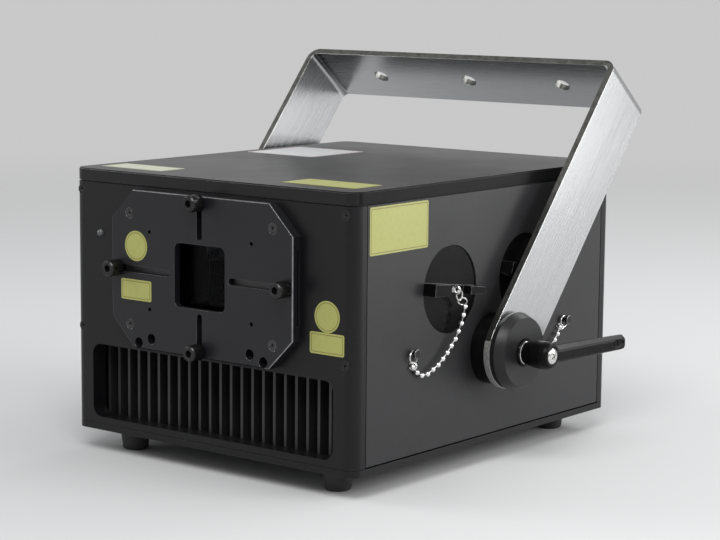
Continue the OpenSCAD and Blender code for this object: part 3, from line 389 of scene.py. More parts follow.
def spin(work, outline, place, way, sides=96, ends=False):
    """Turns an outline of (distance, radius) about a line through a place."""
    way = Vector(way)
    one = way.orthogonal().normalized()
    two = way.cross(one)
    rings = []
    for i in range(sides):
        a = 2 * math.pi * i / sides
        out = one * math.cos(a) + two * math.sin(a)
        rings.append([work.verts.new((Vector(place) + way * x + out * r) * MM) for x, r in outline])
    last = len(outline) - 1 if ends else len(outline)
    for i in range(sides):
        near, far = rings[i], rings[(i + 1) % sides]
        for j in range(last):
            k = (j + 1) % len(outline)
            work.faces.new((near[j], far[j], far[k], near[k]))
    if ends:
        work.faces.new([ring[0] for ring in rings])
        work.faces.new([ring[-1] for ring in reversed(rings)])


def crisp(piece):
    """Smooth along the curves, sharp where two faces meet at an angle."""
    for face in piece.data.polygons:
        face.use_smooth = True
    piece.data.set_sharp_from_angle(angle=SHARP_ABOVE)
    return piece


def finished(work, name):
    bmesh.ops.recalc_face_normals(work, faces=work.faces)
    return crisp(object_from(work, name))


foot_finish = speckled("foot_rubber", (0.016, 0.016, 0.016), (0.03, 0.03, 0.03), 0.65, grain=700, bump=0.25)
feet_work = bmesh.new()
for x, y in FOOT_PLACES:
    spin(feet_work, FOOT_OUTLINE, (x, y, 0), (0, 0, 1), sides=64)
dress(finished(feet_work, "rubber_feet"), foot_finish, "case", "feet")
steel_finish = speckled("bright_steel", (0.62, 0.62, 0.61), (0.8, 0.8, 0.78), 0.13,
                        metal=1.0, grain=900, bump=0.02)
dress(nodes["foot_screws"], steel_finish)


# Aperture plate. An eight-sided aluminium plate, milled from the front, anodised black
# and chamfered bright along its outline, over a guide plate of the same outline. Four
# grey steel screws hold both.
FORWARD = (0, -1, 0)
plate_finish = speckled("plate_anodised", (0.006, 0.006, 0.007), (0.013, 0.013, 0.0155), 0.36,
                        grain=1900, shine=0.3)
aperture_plate = edged("aperture_plate", 0.3, chamfer=FORWARD)
dress(aperture_plate, plate_finish, "case", "aperture_plate", rim=bare_edge)
dress(edged("blade_guide", 0.25), plate_finish, "case", "blade_guide", rim=dull_edge)
grey_steel = speckled("plain_steel", (0.03, 0.03, 0.03), (0.09, 0.09, 0.09), 0.36, metal=0.9, grain=500)
dress(edged("aperture_screws", 0.35), grey_steel, "case", "aperture_screws", rim=dull_edge)


# Blades. Four thin sheets that slide behind the slots and mask the beam. Each has a
# black turned thumbscrew, straight knurled, with a hexagon socket, which clamps it.
THUMB_KNURLS = 30
THUMB_KNURL_DEPTH = 0.42
THUMB_STEPS = 8
# Where each thumbscrew stands across and up, the plane that its head lies on, its length from there
THUMB_PLACES = {"right": (79.5, 143), "left": (-79.5, 143), "upper": (0, 196), "lower": (0, 90)}
THUMB_BACK = -168.7
THUMB_TIP = 11.5
# Distance in front of that plane, radius, share of the knurl's depth
THUMB_OUTLINE = [(-5.5, 1.95, 0), (0, 1.95, 0), (0, 5.2, 0), (0.5, 5.8, 0.2), (1.0, 6.0, 1), (10.0, 6.0, 1),
                 (10.5, 5.75, 0.3), (11.3, 5.1, 0), (THUMB_TIP, 4.8, 0)]
# Half the width over the flats, depth; then depth and width of the lip round it
THUMB_SOCKET = (2.45, 3.4)
THUMB_LIP = (0.3, 0.35)


def thumbscrew(name, x, z):
    work = bmesh.new()
    sides = THUMB_KNURLS * THUMB_STEPS
    rings = []
    for i in range(sides):
        a = 2 * math.pi * i / sides
        groove = max(0.0, math.cos(THUMB_KNURLS * a)) ** 2 * THUMB_KNURL_DEPTH
        flat = THUMB_SOCKET[0] / math.cos((a % (math.pi / 3)) - math.pi / 6)
        outline = [(d, r - groove * share) for d, r, share in THUMB_OUTLINE]
        outline += [(THUMB_TIP, flat + THUMB_LIP[1]), (THUMB_TIP - THUMB_LIP[0], flat),
                    (THUMB_TIP - THUMB_SOCKET[1], flat)]
        rings.append([work.verts.new(Vector((x + r * math.sin(a), THUMB_BACK - d, z + r * math.cos(a))) * MM)
                      for d, r in outline])
    for i in range(sides):
        near, far = rings[i], rings[(i + 1) % sides]
        for j in range(len(near) - 1):
            work.faces.new((near[j], far[j], far[j + 1], near[j + 1]))
    work.faces.new([ring[0] for ring in rings])
    work.faces.new([ring[-1] for ring in reversed(rings)])
    return finished(work, name)


thumb_finish = speckled("thumbscrew_oxide", (0.02, 0.02, 0.02), (0.05, 0.05, 0.05), 0.24,
                        metal=0.8, grain=1200)
blade_finish = speckled("blade_sheet", (0.05, 0.05, 0.052), (0.085, 0.085, 0.088), 0.4, metal=0.4)
for side, (x, z) in THUMB_PLACES.items():
    thumb = "thumbscrew_" + side
    dress(nodes["blade_" + side], blade_finish)
    dress(thumbscrew("knurled_screw_" + side, x, z), thumb_finish, thumb, thumb)


# Window. A flat pane of dark-coated glass on a moulded rubber seal, in a pocket behind
# the blades. The seal under the lid is cut from the same rubber.
seal_finish = speckled("seal_rubber", (0.01, 0.01, 0.01), (0.018, 0.018, 0.018), 0.75, grain=600, bump=0.2)
dress(nodes["window_gasket"], seal_finish)
dress(nodes["lid_gasket"], seal_finish)
glass, _, glass_shader = new_material("coated_glass")
glass_shader.inputs["Base Color"].default_value = (0.42, 0.44, 0.48, 1)
glass_shader.inputs["Roughness"].default_value = 0.02
glass_shader.inputs["IOR"].default_value = 1.12
glass_shader.inputs["Transmission Weight"].default_value = 1.0
dress(nodes["window_glass"], glass)


# Indicator lamp. A frosted lens, moulded in one piece and pressed into a hole of the
# front plate.
lens_finish = speckled("lamp_lens", (0.04, 0.04, 0.04), (0.13, 0.135, 0.14), 0.3, grain=420)
dress(nodes["indicator_lamp"], lens_finish)


# Cooling bench. An extruded aluminium plate with deep fins, anodised black, which
# carries the light path between two side rails. Only the fins' front edges show through
# the intake. The power supply has a plain aluminium cover.
fin_finish = speckled("fin_anodised", (0.012, 0.012, 0.013), (0.02, 0.02, 0.022), 0.42, bump=0.02)
dress(nodes["cooling_bench"], fin_finish)
bare_finish = speckled("bare_aluminium", (0.42, 0.42, 0.43), (0.55, 0.55, 0.56), 0.4, metal=0.9)
dress(nodes["power_supply"], bare_finish)
dress(nodes["side_rails"], fin_finish)


# Light path. Milled laser modules, coated mirrors on brass mounts and a pair of scanning
# mirrors on their motors, all screwed to the bench and blackened against stray light.
scanner_finish = speckled("scanner_anodised", (0.003, 0.003, 0.0035), (0.006, 0.006, 0.007), 0.4,
                          bump=0.0, shine=0.2)
module_finish = speckled("module_anodised", (0.02, 0.02, 0.022), (0.03, 0.03, 0.033), 0.45,
                         bump=0.0, shine=0.3)
dress(nodes["laser_modules"], module_finish)
for part in ("scanner_block", "scanner_motors"):
    dress(nodes[part], scanner_finish)
brass_finish = speckled("machined_brass", (0.42, 0.29, 0.1), (0.6, 0.44, 0.18), 0.28, metal=1.0)
dress(edged("mirror_mounts", 0.3), scanner_finish, "case", "mirror_mounts", rim=brass_finish)
mirror_finish = speckled("mirror_coat", (0.7, 0.74, 0.78), (0.8, 0.84, 0.88), 0.08, metal=1.0, bump=0.0)
for part in ("combining_mirrors", "scan_mirror_x", "scan_mirror_y"):
    dress(nodes[part], mirror_finish)


# Electronics. Green circuit boards on standoffs, and two fans moulded in black plastic
# and screwed to the inside of the rear plate.
board_finish = speckled("circuit_board", (0.01, 0.06, 0.025), (0.03, 0.14, 0.06), 0.35, grain=400)
for part in ("driver_board", "control_board"):
    dress(nodes[part], board_finish)
fan_finish = speckled("fan_plastic", (0.012, 0.012, 0.012), (0.022, 0.022, 0.022), 0.5)
for part in ("fan_frames", "fan_rotor_right", "fan_rotor_left"):
    dress(nodes[part], fan_finish)


# Sockets and key. Moulded power and signal sockets and a keyed switch with a turned steel
# barrel, all set in the rear plate. The key is stamped from steel.
socket_finish = speckled("socket_plastic", (0.014, 0.014, 0.015), (0.026, 0.026, 0.028), 0.45)
for part in ("power_sockets", "signal_sockets"):
    dress(edged(part, 0.5), socket_finish, "case", part)
dress(edged("key_barrel", 0.5), steel_finish, "case", "key_barrel")
dress(edged("key", 0.4), steel_finish, "key", "key")


# Service caps. Turned black caps on rubber seals in round seats of the right side panel,
# each with a milled grip bar worn bare along its edges. A screw in the panel beside each
# cap holds the far end of its chain.
cap_finish = speckled("cap_anodised", (0.002, 0.002, 0.0022), (0.0045, 0.0045, 0.005), 0.26, shine=0.075)
for cap in ("service_cap_front", "service_cap_rear"):
    dress(edged(cap, 0.4, steps=3), cap_finish, cap, cap, rim=worn_edge)
dress(nodes["cap_seals"], seal_finish)
dress(edged("chain_screws", 0.5, steps=3), screw_finish, "case", "chain_screws", rim=worn_edge)


# Chains. Nickel-plated ball chain: hollow balls rolled from sheet, joined by short wire
# links with a head inside each ball. Each chain hangs between two rings.
BALL_RADIUS = 1.95
BALL_PITCH = 6.1
# Degrees round a ball from the hole of one link to the hole of the next
BALL_ANGLES = (14, 24, 38, 54, 72, 86, 94, 108, 126, 142, 156, 166)
BALL_OUTLINE = [(-math.cos(math.radians(a)) * BALL_RADIUS, math.sin(math.radians(a)) * BALL_RADIUS)
                for a in BALL_ANGLES]
LINK_RADIUS = 0.5
# Middle of each cap's eye and of each chain screw's neck, and degrees its rings hang out of plumb
EYES = [((138.8, -51.5, 135), 38), ((138.8, 41, 135), 10)]
SCREW_NECKS = [((134.9, -96, 95), -6), ((134.9, 96, 95), -58)]
# How far below them the chains begin
BELOW_EYE = 16.55
BELOW_NECK = 9.35
# Where each chain hangs in between: out from the middle of the case, along it and up
CHAIN_ROUTES = [
    [(138.5, -44.5, 111), (138, -51.5, 100), (137.5, -61, 90.5), (137, -70.5, 83.5), (136.2, -82, 78.5),
     (135.5, -90, 78.5)],
    [(138.5, 43, 105), (138, 46, 92), (137.5, 54, 82), (137, 65, 77), (136.5, 76, 79), (135.8, 83, 84)],
]


def hung_from(place, lean, reach):
    """The point at the end of a line that hangs from a place, some degrees out of plumb."""
    x, y, z = place
    return x, y + reach * math.sin(math.radians(lean)), z - reach * math.cos(math.radians(lean))


def ball_places(route):
    """Even steps along a chain's route, one for each ball."""
    route = [Vector(point) for point in route]
    legs = [(b - a).length for a, b in zip(route, route[1:])]
    count = int(sum(legs) / BALL_PITCH)
    places = []
    for i in range(count + 1):
        left = sum(legs) * i / count
        k = 0
        while k < len(legs) - 1 and left > legs[k]:
            left -= legs[k]
            k += 1
        places.append(route[k].lerp(route[k + 1], left / legs[k]))
    return places


balls_work, links_work = bmesh.new(), bmesh.new()
for eye, neck, between in zip(EYES, SCREW_NECKS, CHAIN_ROUTES):
    places = ball_places([hung_from(*eye, BELOW_EYE), *between, hung_from(*neck, BELOW_NECK)])
    for i, place in enumerate(places):
        way = (places[min(i + 1, len(places) - 1)] - places[max(i - 1, 0)]).normalized()
        spin(balls_work, BALL_OUTLINE, place, way, sides=20, ends=True)
    for one, two in zip(places, places[1:]):
        link_outline = [(0, LINK_RADIUS), ((two - one).length, LINK_RADIUS)]
        spin(links_work, link_outline, one, (two - one).normalized(), sides=10, ends=True)
nickel_finish = speckled("nickel_plate", (0.74, 0.74, 0.73), (0.88, 0.88, 0.87), 0.16,
                         metal=0.9, grain=700, bump=0.02)
link_finish = speckled("link_wire", (0.3, 0.3, 0.3), (0.5, 0.5, 0.49), 0.3, metal=1.0, grain=700, bump=0.02)
dress(finished(balls_work, "chain_balls"), nickel_finish, "case", "cap_chains")
dress(finished(links_work, "chain_links"), link_finish, "case", "cap_chains")


# Rings and eyes. A turned eye in the middle of each cap, then two split rings of
# double spring wire that link it to the chain, and two more from the chain to its screw.
EYE_RADIUS = 2.5
EYE_WIRE = 0.8
# Distance out from the middle of the case, then radius
POST_OUTLINE = [(128.8, 2.0), (136.3, 2.0)]
RING_WIRE = 0.38
RING_STEPS = 40
WIRE_SIDES = 10
# How far below the eye or neck a ring's middle hangs, its radius, degrees it is turned on its line
EYE_RINGS = [(4.95, 3.7, 0), (11.05, 3.3, 68)]
NECK_RINGS = [(2.4, 4.4, 0), (8.6, 2.7, 70)]
OUTWARD = Vector((1, 0, 0))


def tube(work, points, radius, closed):
    """A wire swept along points."""
    rings = []
    count = len(points)
    for i, point in enumerate(points):
        after = points[(i + 1) % count] if closed or i < count - 1 else point
        before = points[i - 1] if closed or i else point
        along = (after - before).normalized()
        one = along.orthogonal() if not i else (one - along * one.dot(along))
        one.normalize()
        two = along.cross(one)
        rings.append([work.verts.new((point + (one * math.cos(a) + two * math.sin(a)) * radius) * MM)
                      for a in (2 * math.pi * k / WIRE_SIDES for k in range(WIRE_SIDES))])
    for i in range(count if closed else count - 1):
        near, far = rings[i], rings[(i + 1) % count]
        for k in range(WIRE_SIDES):
            n = (k + 1) % WIRE_SIDES
            work.faces.new((near[k], near[n], far[n], far[k]))
    if not closed:
        work.faces.new(rings[0])
        work.faces.new(list(reversed(rings[-1])))


def split_ring(work, middle, down, across, radius):
    """Two turns of wire side by side, in the plane of two directions."""
    out = down.cross(across)
    points = []
    for i in range(2 * RING_STEPS + 1):
        a = 2 * math.pi * i / RING_STEPS
        points.append(middle + (down * math.cos(a) + across * math.sin(a)) * radius
                      + out * RING_WIRE * (i / RING_STEPS - 1))
    tube(work, points, RING_WIRE, False)


def hang_rings(work, place, lean, rings):
    """Split rings linked one in another below an eye or a neck."""
    down = Vector((0, math.sin(math.radians(lean)), -math.cos(math.radians(lean))))
    for reach, radius, twist in rings:
        across = Matrix.Rotation(math.radians(twist), 3, down) @ OUTWARD.cross(down)
        split_ring(work, Vector(place) + down * reach, down, across, radius)


rings_work = bmesh.new()
for (x, y, z), lean in EYES:
    spin(rings_work, POST_OUTLINE, (0, y, z), OUTWARD, sides=32, ends=True)
    tube(rings_work, [Vector((x, y, z)) + Vector((math.cos(a), 0, math.sin(a))) * EYE_RADIUS
                      for a in (2 * math.pi * k / RING_STEPS for k in range(RING_STEPS))], EYE_WIRE, True)
    hang_rings(rings_work, (x, y, z), lean, EYE_RINGS)
for neck, lean in SCREW_NECKS:
    hang_rings(rings_work, neck, lean, NECK_RINGS)
dress(finished(rings_work, "eyes_and_split_rings"), nickel_finish, "case", "chain_rings")


# Stickers. Plain printed film with rounded corners and a thin frame line, stuck on the
# plates by hand: yellow, one cream at the lid's front left, one white at its back.
STICKER_T = 0.2
STICKER_GAP = 0.02
STICKER_FRAME_IN = 1.1
STICKER_FRAME_W = 0.7
# The frame line is the third row of faces, counted inwards from the edge
FRAME_ROW = 2
CORNER_STEPS = 8
LEAST_CORNER = 0.3
CORNERS_WITHIN = 1e-7
ALONG_X, ALONG_Y, UPWARD = Vector((1, 0, 0)), Vector((0, 1, 0)), Vector((0, 0, 1))


def rounded_outline(w, h, r):
    points = []
    for cx, cy, start in ((1, 1, 0), (-1, 1, 90), (-1, -1, 180), (1, -1, 270)):
        for i in range(CORNER_STEPS + 1):
            a = math.radians(start + 90 * i / CORNER_STEPS)
            points.append((cx * (w / 2 - r) + r * math.cos(a), cy * (h / 2 - r) + r * math.sin(a)))
    return points


def sticker(name, middle, across, upward, w, h, r, film, ink):
    """A thin sheet of film with a frame line printed a little in from its edge."""
    work = bmesh.new()
    out = across.cross(upward)
    middle = Vector(middle)
    loops = []
    for inset, lift in ((0, STICKER_GAP), (0, STICKER_T), (STICKER_FRAME_IN, STICKER_T),
                        (STICKER_FRAME_IN + STICKER_FRAME_W, STICKER_T)):
        outline = rounded_outline(w - 2 * inset, h - 2 * inset, max(r - inset, LEAST_CORNER))
        loops.append([work.verts.new((middle + across * x + upward * y + out * lift) * MM)
                      for x, y in outline])
    for row, (one, two) in enumerate(zip(loops, loops[1:])):
        for j in range(len(one)):
            k = (j + 1) % len(one)
            face = work.faces.new((one[j], one[k], two[k], two[j]))
            face.material_index = 1 if row == FRAME_ROW else 0
    work.faces.new(loops[-1])
    work.faces.new(list(reversed(loops[0])))
    bmesh.ops.remove_doubles(work, verts=work.verts, dist=CORNERS_WITHIN)
    piece = object_from(work, name)
    for _ in range(2):
        piece.data.materials.append(None)
    dress(piece, film, "case", "stickers", rim=ink)


yellow_film = speckled("yellow_film", (0.33, 0.335, 0.092), (0.36, 0.365, 0.106), 0.34, grain=300, bump=0.01)
yellow_ink = speckled("ochre_ink", (0.17, 0.16, 0.03), (0.22, 0.2, 0.04), 0.4, grain=500, bump=0.01)
cream_film = speckled("cream_film", (0.46, 0.47, 0.36), (0.49, 0.5, 0.39), 0.34, grain=300, bump=0.01)
pale_film = speckled("pale_film", (0.56, 0.565, 0.57), (0.6, 0.605, 0.61), 0.34, grain=300, bump=0.01)
red_ink = speckled("red_ink", (0.35, 0.03, 0.025), (0.42, 0.05, 0.04), 0.4, grain=500, bump=0.01)
# Name, middle, direction of its width, direction of its height, width, height, corner radius,
# film and ink
STICKERS = [
    ("plate_dot", (-61.5, -168.4, 160), ALONG_X, UPWARD, 22, 22, 11, yellow_film, yellow_ink),
    ("plate_strip", (-61.5, -168.4, 128), ALONG_X, UPWARD, 30, 15, 1.5, yellow_film, yellow_ink),
    ("front_dot", (109.5, -160, 126), ALONG_X, UPWARD, 22, 22, 11, yellow_film, yellow_ink),
    ("front_strip", (109.5, -160, 107.4), ALONG_X, UPWARD, 30, 15, 1.5, yellow_film, yellow_ink),
    ("side_sticker", (133, -111.5, 184.2), ALONG_Y, UPWARD, 65.4, 33, 1.5, yellow_film, yellow_ink),
    ("lid_sticker_right", (84.5, -125.5, 212), ALONG_X, ALONG_Y, 65, 31, 1.5, yellow_film, yellow_ink),
    ("lid_sticker_left", (-92, -129.5, 212), ALONG_X, ALONG_Y, 60, 27, 1.5, cream_film, yellow_ink),
    ("lid_sticker_rear", (-89, 54, 212), ALONG_X, ALONG_Y, 67, 66, 1.5, pale_film, red_ink),
]
for sticker_facts in STICKERS:
    sticker(*sticker_facts)


# Yoke. One strip of 5 mm stainless steel, brushed along its length, punched with three
# holes and bent twice. Its long edges and hole walls take a darker steel, painted shade,
# and the rims of its round ends a brighter one, a painted highlight.
YOKE_LEAN = math.radians(40)
# How much finer the brushing is across the strip than along it, and how far the scratches
# change its colour and its roughness
BRUSH_SCALE = (10, 4200, 10)
SCRATCH_TINT = (0.9, 1.08)
SCRATCH_ROUGH = (-0.04, 0.05)
# Metres: the holes lie above and within, the round ends below
HOLES_ABOVE = 0.24
HOLES_WITHIN = 0.1
ROUND_ENDS_BELOW = 0.104
# How a face has to turn to count as part of an edge or of a hole's wall
SIDEWAYS_WITHIN = 0.05
EDGE_ON_FROM = 0.95
HOLE_WALL_WITHIN = 0.3
# Places in the strip's list of the darker edge steel (painted shade) and the brighter round-end steel
# (painted highlight)
SHADED_EDGE_PLACE, HIGHLIT_END_PLACE = 2, 3


def brushed(name, colour, rough):
    """Long fine scratches: noise drawn out along the strip, in colour and in relief."""
    material, tree, shader = new_material(name)
    place = tree.nodes.new("ShaderNodeTexCoord")
    upright = tree.nodes.new("ShaderNodeMapping")
    upright.vector_type = "POINT"
    upright.inputs["Rotation"].default_value = (YOKE_LEAN, 0, 0)
    plug(tree, place.outputs["Object"], upright.inputs["Vector"])
    drawn = tree.nodes.new("ShaderNodeMapping")
    drawn.inputs["Scale"].default_value = BRUSH_SCALE
    plug(tree, upright.outputs["Vector"], drawn.inputs["Vector"])
    scratch = tree.nodes.new("ShaderNodeTexNoise")
    scratch.inputs["Scale"].default_value = 1.0
    scratch.inputs["Detail"].default_value = 6
    scratch.inputs["Roughness"].default_value = 0.7
    plug(tree, drawn.outputs["Vector"], scratch.inputs["Vector"])
    tint = tree.nodes.new("ShaderNodeValToRGB")
    tint.color_ramp.elements[0].position = 0.25
    tint.color_ramp.elements[0].color = (*[c * SCRATCH_TINT[0] for c in colour], 1)
    tint.color_ramp.elements[1].position = 0.75
    tint.color_ramp.elements[1].color = (*[c * SCRATCH_TINT[1] for c in colour], 1)
    plug(tree, scratch.outputs["Fac"], tint.inputs["Fac"])
    plug(tree, tint.outputs["Color"], shader.inputs["Base Color"])
    spread = tree.nodes.new("ShaderNodeMapRange")
    spread.inputs["From Min"].default_value = 0.3
    spread.inputs["From Max"].default_value = 0.7
    spread.inputs["To Min"].default_value = rough + SCRATCH_ROUGH[0]
    spread.inputs["To Max"].default_value = rough + SCRATCH_ROUGH[1]
    plug(tree, scratch.outputs["Fac"], spread.inputs["Value"])
    plug(tree, spread.outputs["Result"], shader.inputs["Roughness"])
    relief = tree.nodes.new("ShaderNodeBump")
    relief.inputs["Strength"].default_value = 0.08
    relief.inputs["Distance"].default_value = 0.0001
    plug(tree, scratch.outputs["Fac"], relief.inputs["Height"])
    plug(tree, relief.outputs["Normal"], shader.inputs["Normal"])
    shader.inputs["Metallic"].default_value = 1.0
    return material


yoke_finish = brushed("brushed_stainless", (0.43, 0.435, 0.44), 0.25)
# Darker steel for the long edges and hole walls is painted shade; brighter steel for the round ends' rims is
# a painted highlight
edge_painted_shade_finish = speckled("edge_stainless_painted_shade", (0.09, 0.09, 0.085), (0.19, 0.19, 0.18), 0.34, metal=1.0, grain=260)
round_end_painted_highlight_finish = speckled("round_end_stainless_painted_highlight", (0.6, 0.6, 0.58), (0.78, 0.78, 0.76), 0.42, metal=1.0, grain=420)
yoke_strip = edged("yoke", 0.6, steps=3)
dress(yoke_strip, yoke_finish, "yoke", "yoke", rim=steel_finish)
yoke_strip.data.materials.append(edge_painted_shade_finish)
yoke_strip.data.materials.append(round_end_painted_highlight_finish)
for face in yoke_strip.data.polygons:
    if face.material_index:
        continue
    up_the_strip = face.normal.y * math.cos(YOKE_LEAN) - face.normal.z * math.sin(YOKE_LEAN)
    through = face.normal.y * math.sin(YOKE_LEAN) + face.normal.z * math.cos(YOKE_LEAN)
    not_sideways = abs(face.normal.x) < SIDEWAYS_WITHIN
    in_bar = face.center.z > HOLES_ABOVE and abs(face.center.x) < HOLES_WITHIN
    if (not_sideways and abs(up_the_strip) > EDGE_ON_FROM) or (in_bar and abs(through) < HOLE_WALL_WITHIN):
        face.material_index = SHADED_EDGE_PLACE
    elif not_sideways and face.center.z < ROUND_ENDS_BELOW:
        face.material_index = HIGHLIT_END_PLACE


# Pivots. A turned black spacer and a clamp disc with a broad bevel on each side, both
# anodised, and a star washer. A steel stud with a collar and a toothed end holds them.
PIVOT = (0, 0, 86)
# Distance out from the middle of the case, then radius
SPACER_OUTLINE = [(133, 5.3), (133, 26), (145.4, 26), (145.95, 25.5), (145.95, 5.3)]
DISC_OUTLINE = [(151, 5.3), (151, 27.2), (151.4, 27.6), (155.1, 28.4), (155.5, 28.2), (162.1, 25.5),
                (162.5, 25.0), (162.5, 5.3)]
STUD_OUTLINE = [(116.5, 4.4), (117.1, 5.0), (162.8, 5.0), (162.8, 8.0), (163.1, 8.3), (164.3, 8.3),
                (164.6, 8.0), (164.6, 6.5), (173.9, 6.5)]
# Star washer: its teeth, radii of its hole and of its gaps and teeth, where it lies
TEETH = 32
TEETH_INNER = 8.5
TEETH_OUTER = (9.3, 10.3)
TEETH_X = (162.5, 163.5)


def toothed_ring(side):
    """Star washer that the stud's collar bears on."""
    work = bmesh.new()
    way = 1 if side == "right" else -1
    rings = []
    for i in range(TEETH * 2):
        a = math.pi * i / TEETH
        corners = [(x, r) for r in (TEETH_INNER, TEETH_OUTER[i % 2]) for x in TEETH_X]
        rings.append([work.verts.new(Vector((way * x, math.cos(a) * r, PIVOT[2] + math.sin(a) * r)) * MM)
                      for x, r in (corners[0], corners[1], corners[3], corners[2])])
    for near, far in zip(rings, rings[1:] + rings[:1]):
        for j in range(4):
            k = (j + 1) % 4
            work.faces.new((near[j], far[j], far[k], near[k]))
    return finished(work, "toothed_ring_" + side)


def on_side(side, outline, name, ends=False):
    """A turned piece about the pivot, on one side of the case."""
    work = bmesh.new()
    spin(work, outline, PIVOT, (1 if side == "right" else -1, 0, 0), sides=128, ends=ends)
    return finished(work, name)


spacer_finish = speckled("spacer_anodised", (0.002, 0.002, 0.002), (0.005, 0.005, 0.005), 0.3, shine=0.15)
disc_finish = speckled("disc_anodised", (0.008, 0.008, 0.0085), (0.015, 0.015, 0.016), 0.36, shine=0.32)
for side in ("right", "left"):
    spacer = on_side(side, SPACER_OUTLINE, "spacer_" + side)
    dress(spacer, spacer_finish, "case", "pivot_spacers")
    disc = on_side(side, DISC_OUTLINE, "clamp_disc_" + side)
    dress(disc, disc_finish, "yoke", "clamp_discs")
    dress(toothed_ring(side), spacer_finish, "yoke")
    stud = "stud_" + side
    dress(on_side(side, STUD_OUTLINE, "collar_" + stud, ends=True), steel_finish, stud, stud)


# Levers. Die-cast clamping levers, powder coated black, on a serrated steel insert with
# a bright collar. A cross-head screw draws each one in against its spring.
LEVER_LEAN = math.radians(5)
# Hub outline: distance out from the middle of the case, then radius
HUB_FACE = 186.9
LEVER_HUB = [(164.9, 6.6), (164.9, 7.9), (165.5, 8.5), (172.4, 9.6), (173.2, 10.0), (181.0, 10.2),
             (184.4, 9.8), (186.3, 8.9), (HUB_FACE, 8.0), (HUB_FACE, 5.95), (179.0, 5.95), (179.0, 2.8),
             (174.4, 2.8), (174.4, 6.6)]
# The arm's middle lies this far in from the hub's face
ARM_IN = 5.6
# Arm stations: distance along, half height, half thickness, shift outwards, shift upwards
LEVER_ARM = [(0, 6.6, 5.6, 0, -0.3), (10, 6.4, 5.2, 0, -0.3), (24, 6.2, 4.7, -0.1, -0.4),
             (42, 6.0, 4.2, -0.2, -0.6), (60, 5.8, 3.9, -0.2, -0.8), (76, 5.7, 3.7, -0.1, -0.9),
             (85, 5.6, 3.6, 0, -1.0), (89.2, 5.4, 3.3, 0, -1.0), (89.9, 4.9, 2.9, 0, -1.0)]
# Arm section: fractions of half height and half thickness, flat bevel along the upper edge
LEVER_SECTION = [(-0.45, -1), (0.5, -1), (0.86, -0.78), (1, -0.3), (1, 0.1), (0.56, 0.9),
                 (0.4, 1), (-0.5, 1), (-0.84, 0.8), (-1, 0.3), (-1, -0.4), (-0.8, -0.86)]
LEVER_VOXEL = 0.4
SOFTENING, SOFTENING_ROUNDS = 0.5, 5
# Recess at the tip: its middle along the arm and up, then half length, half width and depth
RECESS_AT = (80.5, -0.9)
RECESS = (6.4, 2.5, 0.9)
# It is cut only this near its middle and where the arm faces out, with a sloping wall
RECESS_REACH = 12
FACES_OUT_FROM = 0.7
RECESS_WALL, RECESS_EDGE = 2.2, 1.3
# End screw: distance out from the middle of the case, then radius
END_SCREW = [(166.9, 2.45), (184.5, 2.45), (184.5, 5.85), (186.5, 5.85), (187.0, 5.6), (187.4, 5.1),
             (187.8, 4.2), (188.1, 3.0), (188.25, 1.6), (188.3, 0.4)]
# Cross recess: length over both arms, width, depth; its floor's share of its mouth, its turn
CROSS = (7.4, 1.5, 2.0)
CROSS_TAPER = 0.45
CROSS_TURN = math.radians(28)
# How far the cutter that makes it stands out of the screw's face
CUTTER_OUT = 1


def lever_arm(work):
    rows = []
    for along, half_h, half_t, shift, rise in LEVER_ARM:
        centre = HUB_FACE - ARM_IN + shift + along * math.tan(LEVER_LEAN)
        rows.append([work.verts.new(Vector((centre + v * half_t, along, rise + u * half_h)) * MM)
                     for u, v in LEVER_SECTION])
    for one, two in zip(rows, rows[1:]):
        for j in range(len(LEVER_SECTION)):
            k = (j + 1) % len(LEVER_SECTION)
            work.faces.new((one[j], two[j], two[k], one[k]))
    work.faces.new(rows[0])
    work.faces.new(list(reversed(rows[-1])))


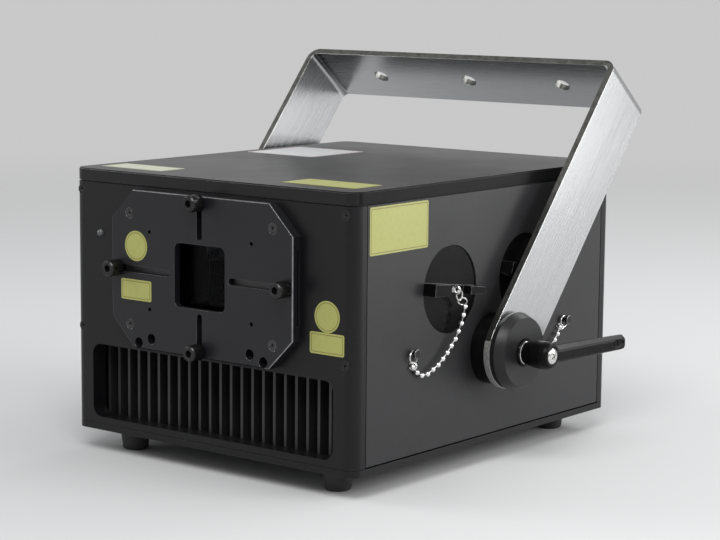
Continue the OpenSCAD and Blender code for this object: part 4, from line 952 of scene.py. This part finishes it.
def lever_shape():
    """Hub and arm run into one soft casting, with a shallow recess at the tip."""
    work = bmesh.new()
    spin(work, LEVER_HUB, (0, 0, 0), (1, 0, 0))
    lever_arm(work)
    bmesh.ops.recalc_face_normals(work, faces=work.faces)
    piece = object_from(work, "lever_right")
    cast = piece.modifiers.new("one_casting", "REMESH")
    cast.mode = "VOXEL"
    cast.voxel_size = LEVER_VOXEL * MM
    soft = piece.modifiers.new("soft_edges", "SMOOTH")
    soft.factor = SOFTENING
    soft.iterations = SOFTENING_ROUNDS
    settle(piece)
    out_there = Vector((math.cos(LEVER_LEAN), -math.sin(LEVER_LEAN), 0))
    for v in piece.data.vertices:
        p = v.co / MM
        if p.y > RECESS_AT[0] - RECESS_REACH and v.normal.dot(out_there) > FACES_OUT_FROM:
            near = ((p.y - RECESS_AT[0]) / RECESS[0]) ** 2 + ((p.z - RECESS_AT[1]) / RECESS[1]) ** 2
            sink = RECESS[2] * max(0.0, min(1.0, RECESS_WALL * (RECESS_EDGE - near)))
            v.co -= out_there * sink * MM
    for face in piece.data.polygons:
        face.use_smooth = True
    piece.data.transform(Matrix.Translation((0, 0, PIVOT[2] * MM)))
    return piece


def mirrored(piece, name):
    """The same shape on the left side of the case."""
    mesh = piece.data.copy()
    mesh.transform(Matrix.Scale(-1, 4, (1, 0, 0)))
    mesh.flip_normals()
    twin = bpy.data.objects.new(name, mesh)
    bpy.context.scene.collection.objects.link(twin)
    return twin


def end_screw():
    """Round-headed screw with a cross recess."""
    work = bmesh.new()
    spin(work, END_SCREW, (0, 0, 0), (1, 0, 0), sides=72, ends=True)
    bmesh.ops.recalc_face_normals(work, faces=work.faces)
    piece = object_from(work, "end_screw_right")
    cutter_work = bmesh.new()
    reach, width, depth = CROSS
    for wide, high in ((reach, width), (width, reach)):
        for v in bmesh.ops.create_cube(cutter_work, size=1)["verts"]:
            taper, out = (1.0, CUTTER_OUT) if v.co.x > 0 else (CROSS_TAPER, -depth)
            v.co = Vector((END_SCREW[-1][0] + out, v.co.y * wide * taper, v.co.z * high * taper)) * MM
    cutter = object_from(cutter_work, "cross_cutter")
    cut = piece.modifiers.new("cross_recess", "BOOLEAN")
    cut.object = cutter
    cut.operation = "DIFFERENCE"
    cut.solver = "EXACT"
    cut.use_self = True
    settle(piece)
    bpy.data.objects.remove(cutter)
    piece.data.transform(Matrix.Translation((0, 0, PIVOT[2] * MM)) @ Matrix.Rotation(CROSS_TURN, 4, "X"))
    return crisp(piece)


lever_finish = speckled("lever_coat", (0.002, 0.002, 0.0023), (0.0045, 0.0045, 0.005), 0.3,
                        grain=1800, bump=0.06, shine=0.1)
lever_right, screw_right = lever_shape(), end_screw()
levers = {"right": lever_right, "left": mirrored(lever_right, "lever_left")}
screws = {"right": screw_right, "left": mirrored(screw_right, "end_screw_left")}
for side in ("right", "left"):
    lever = "handle_" + side
    dress(levers[side], lever_finish, lever, lever)
    dress(screws[side], steel_finish, "stud_" + side, "handle_screw_" + side)
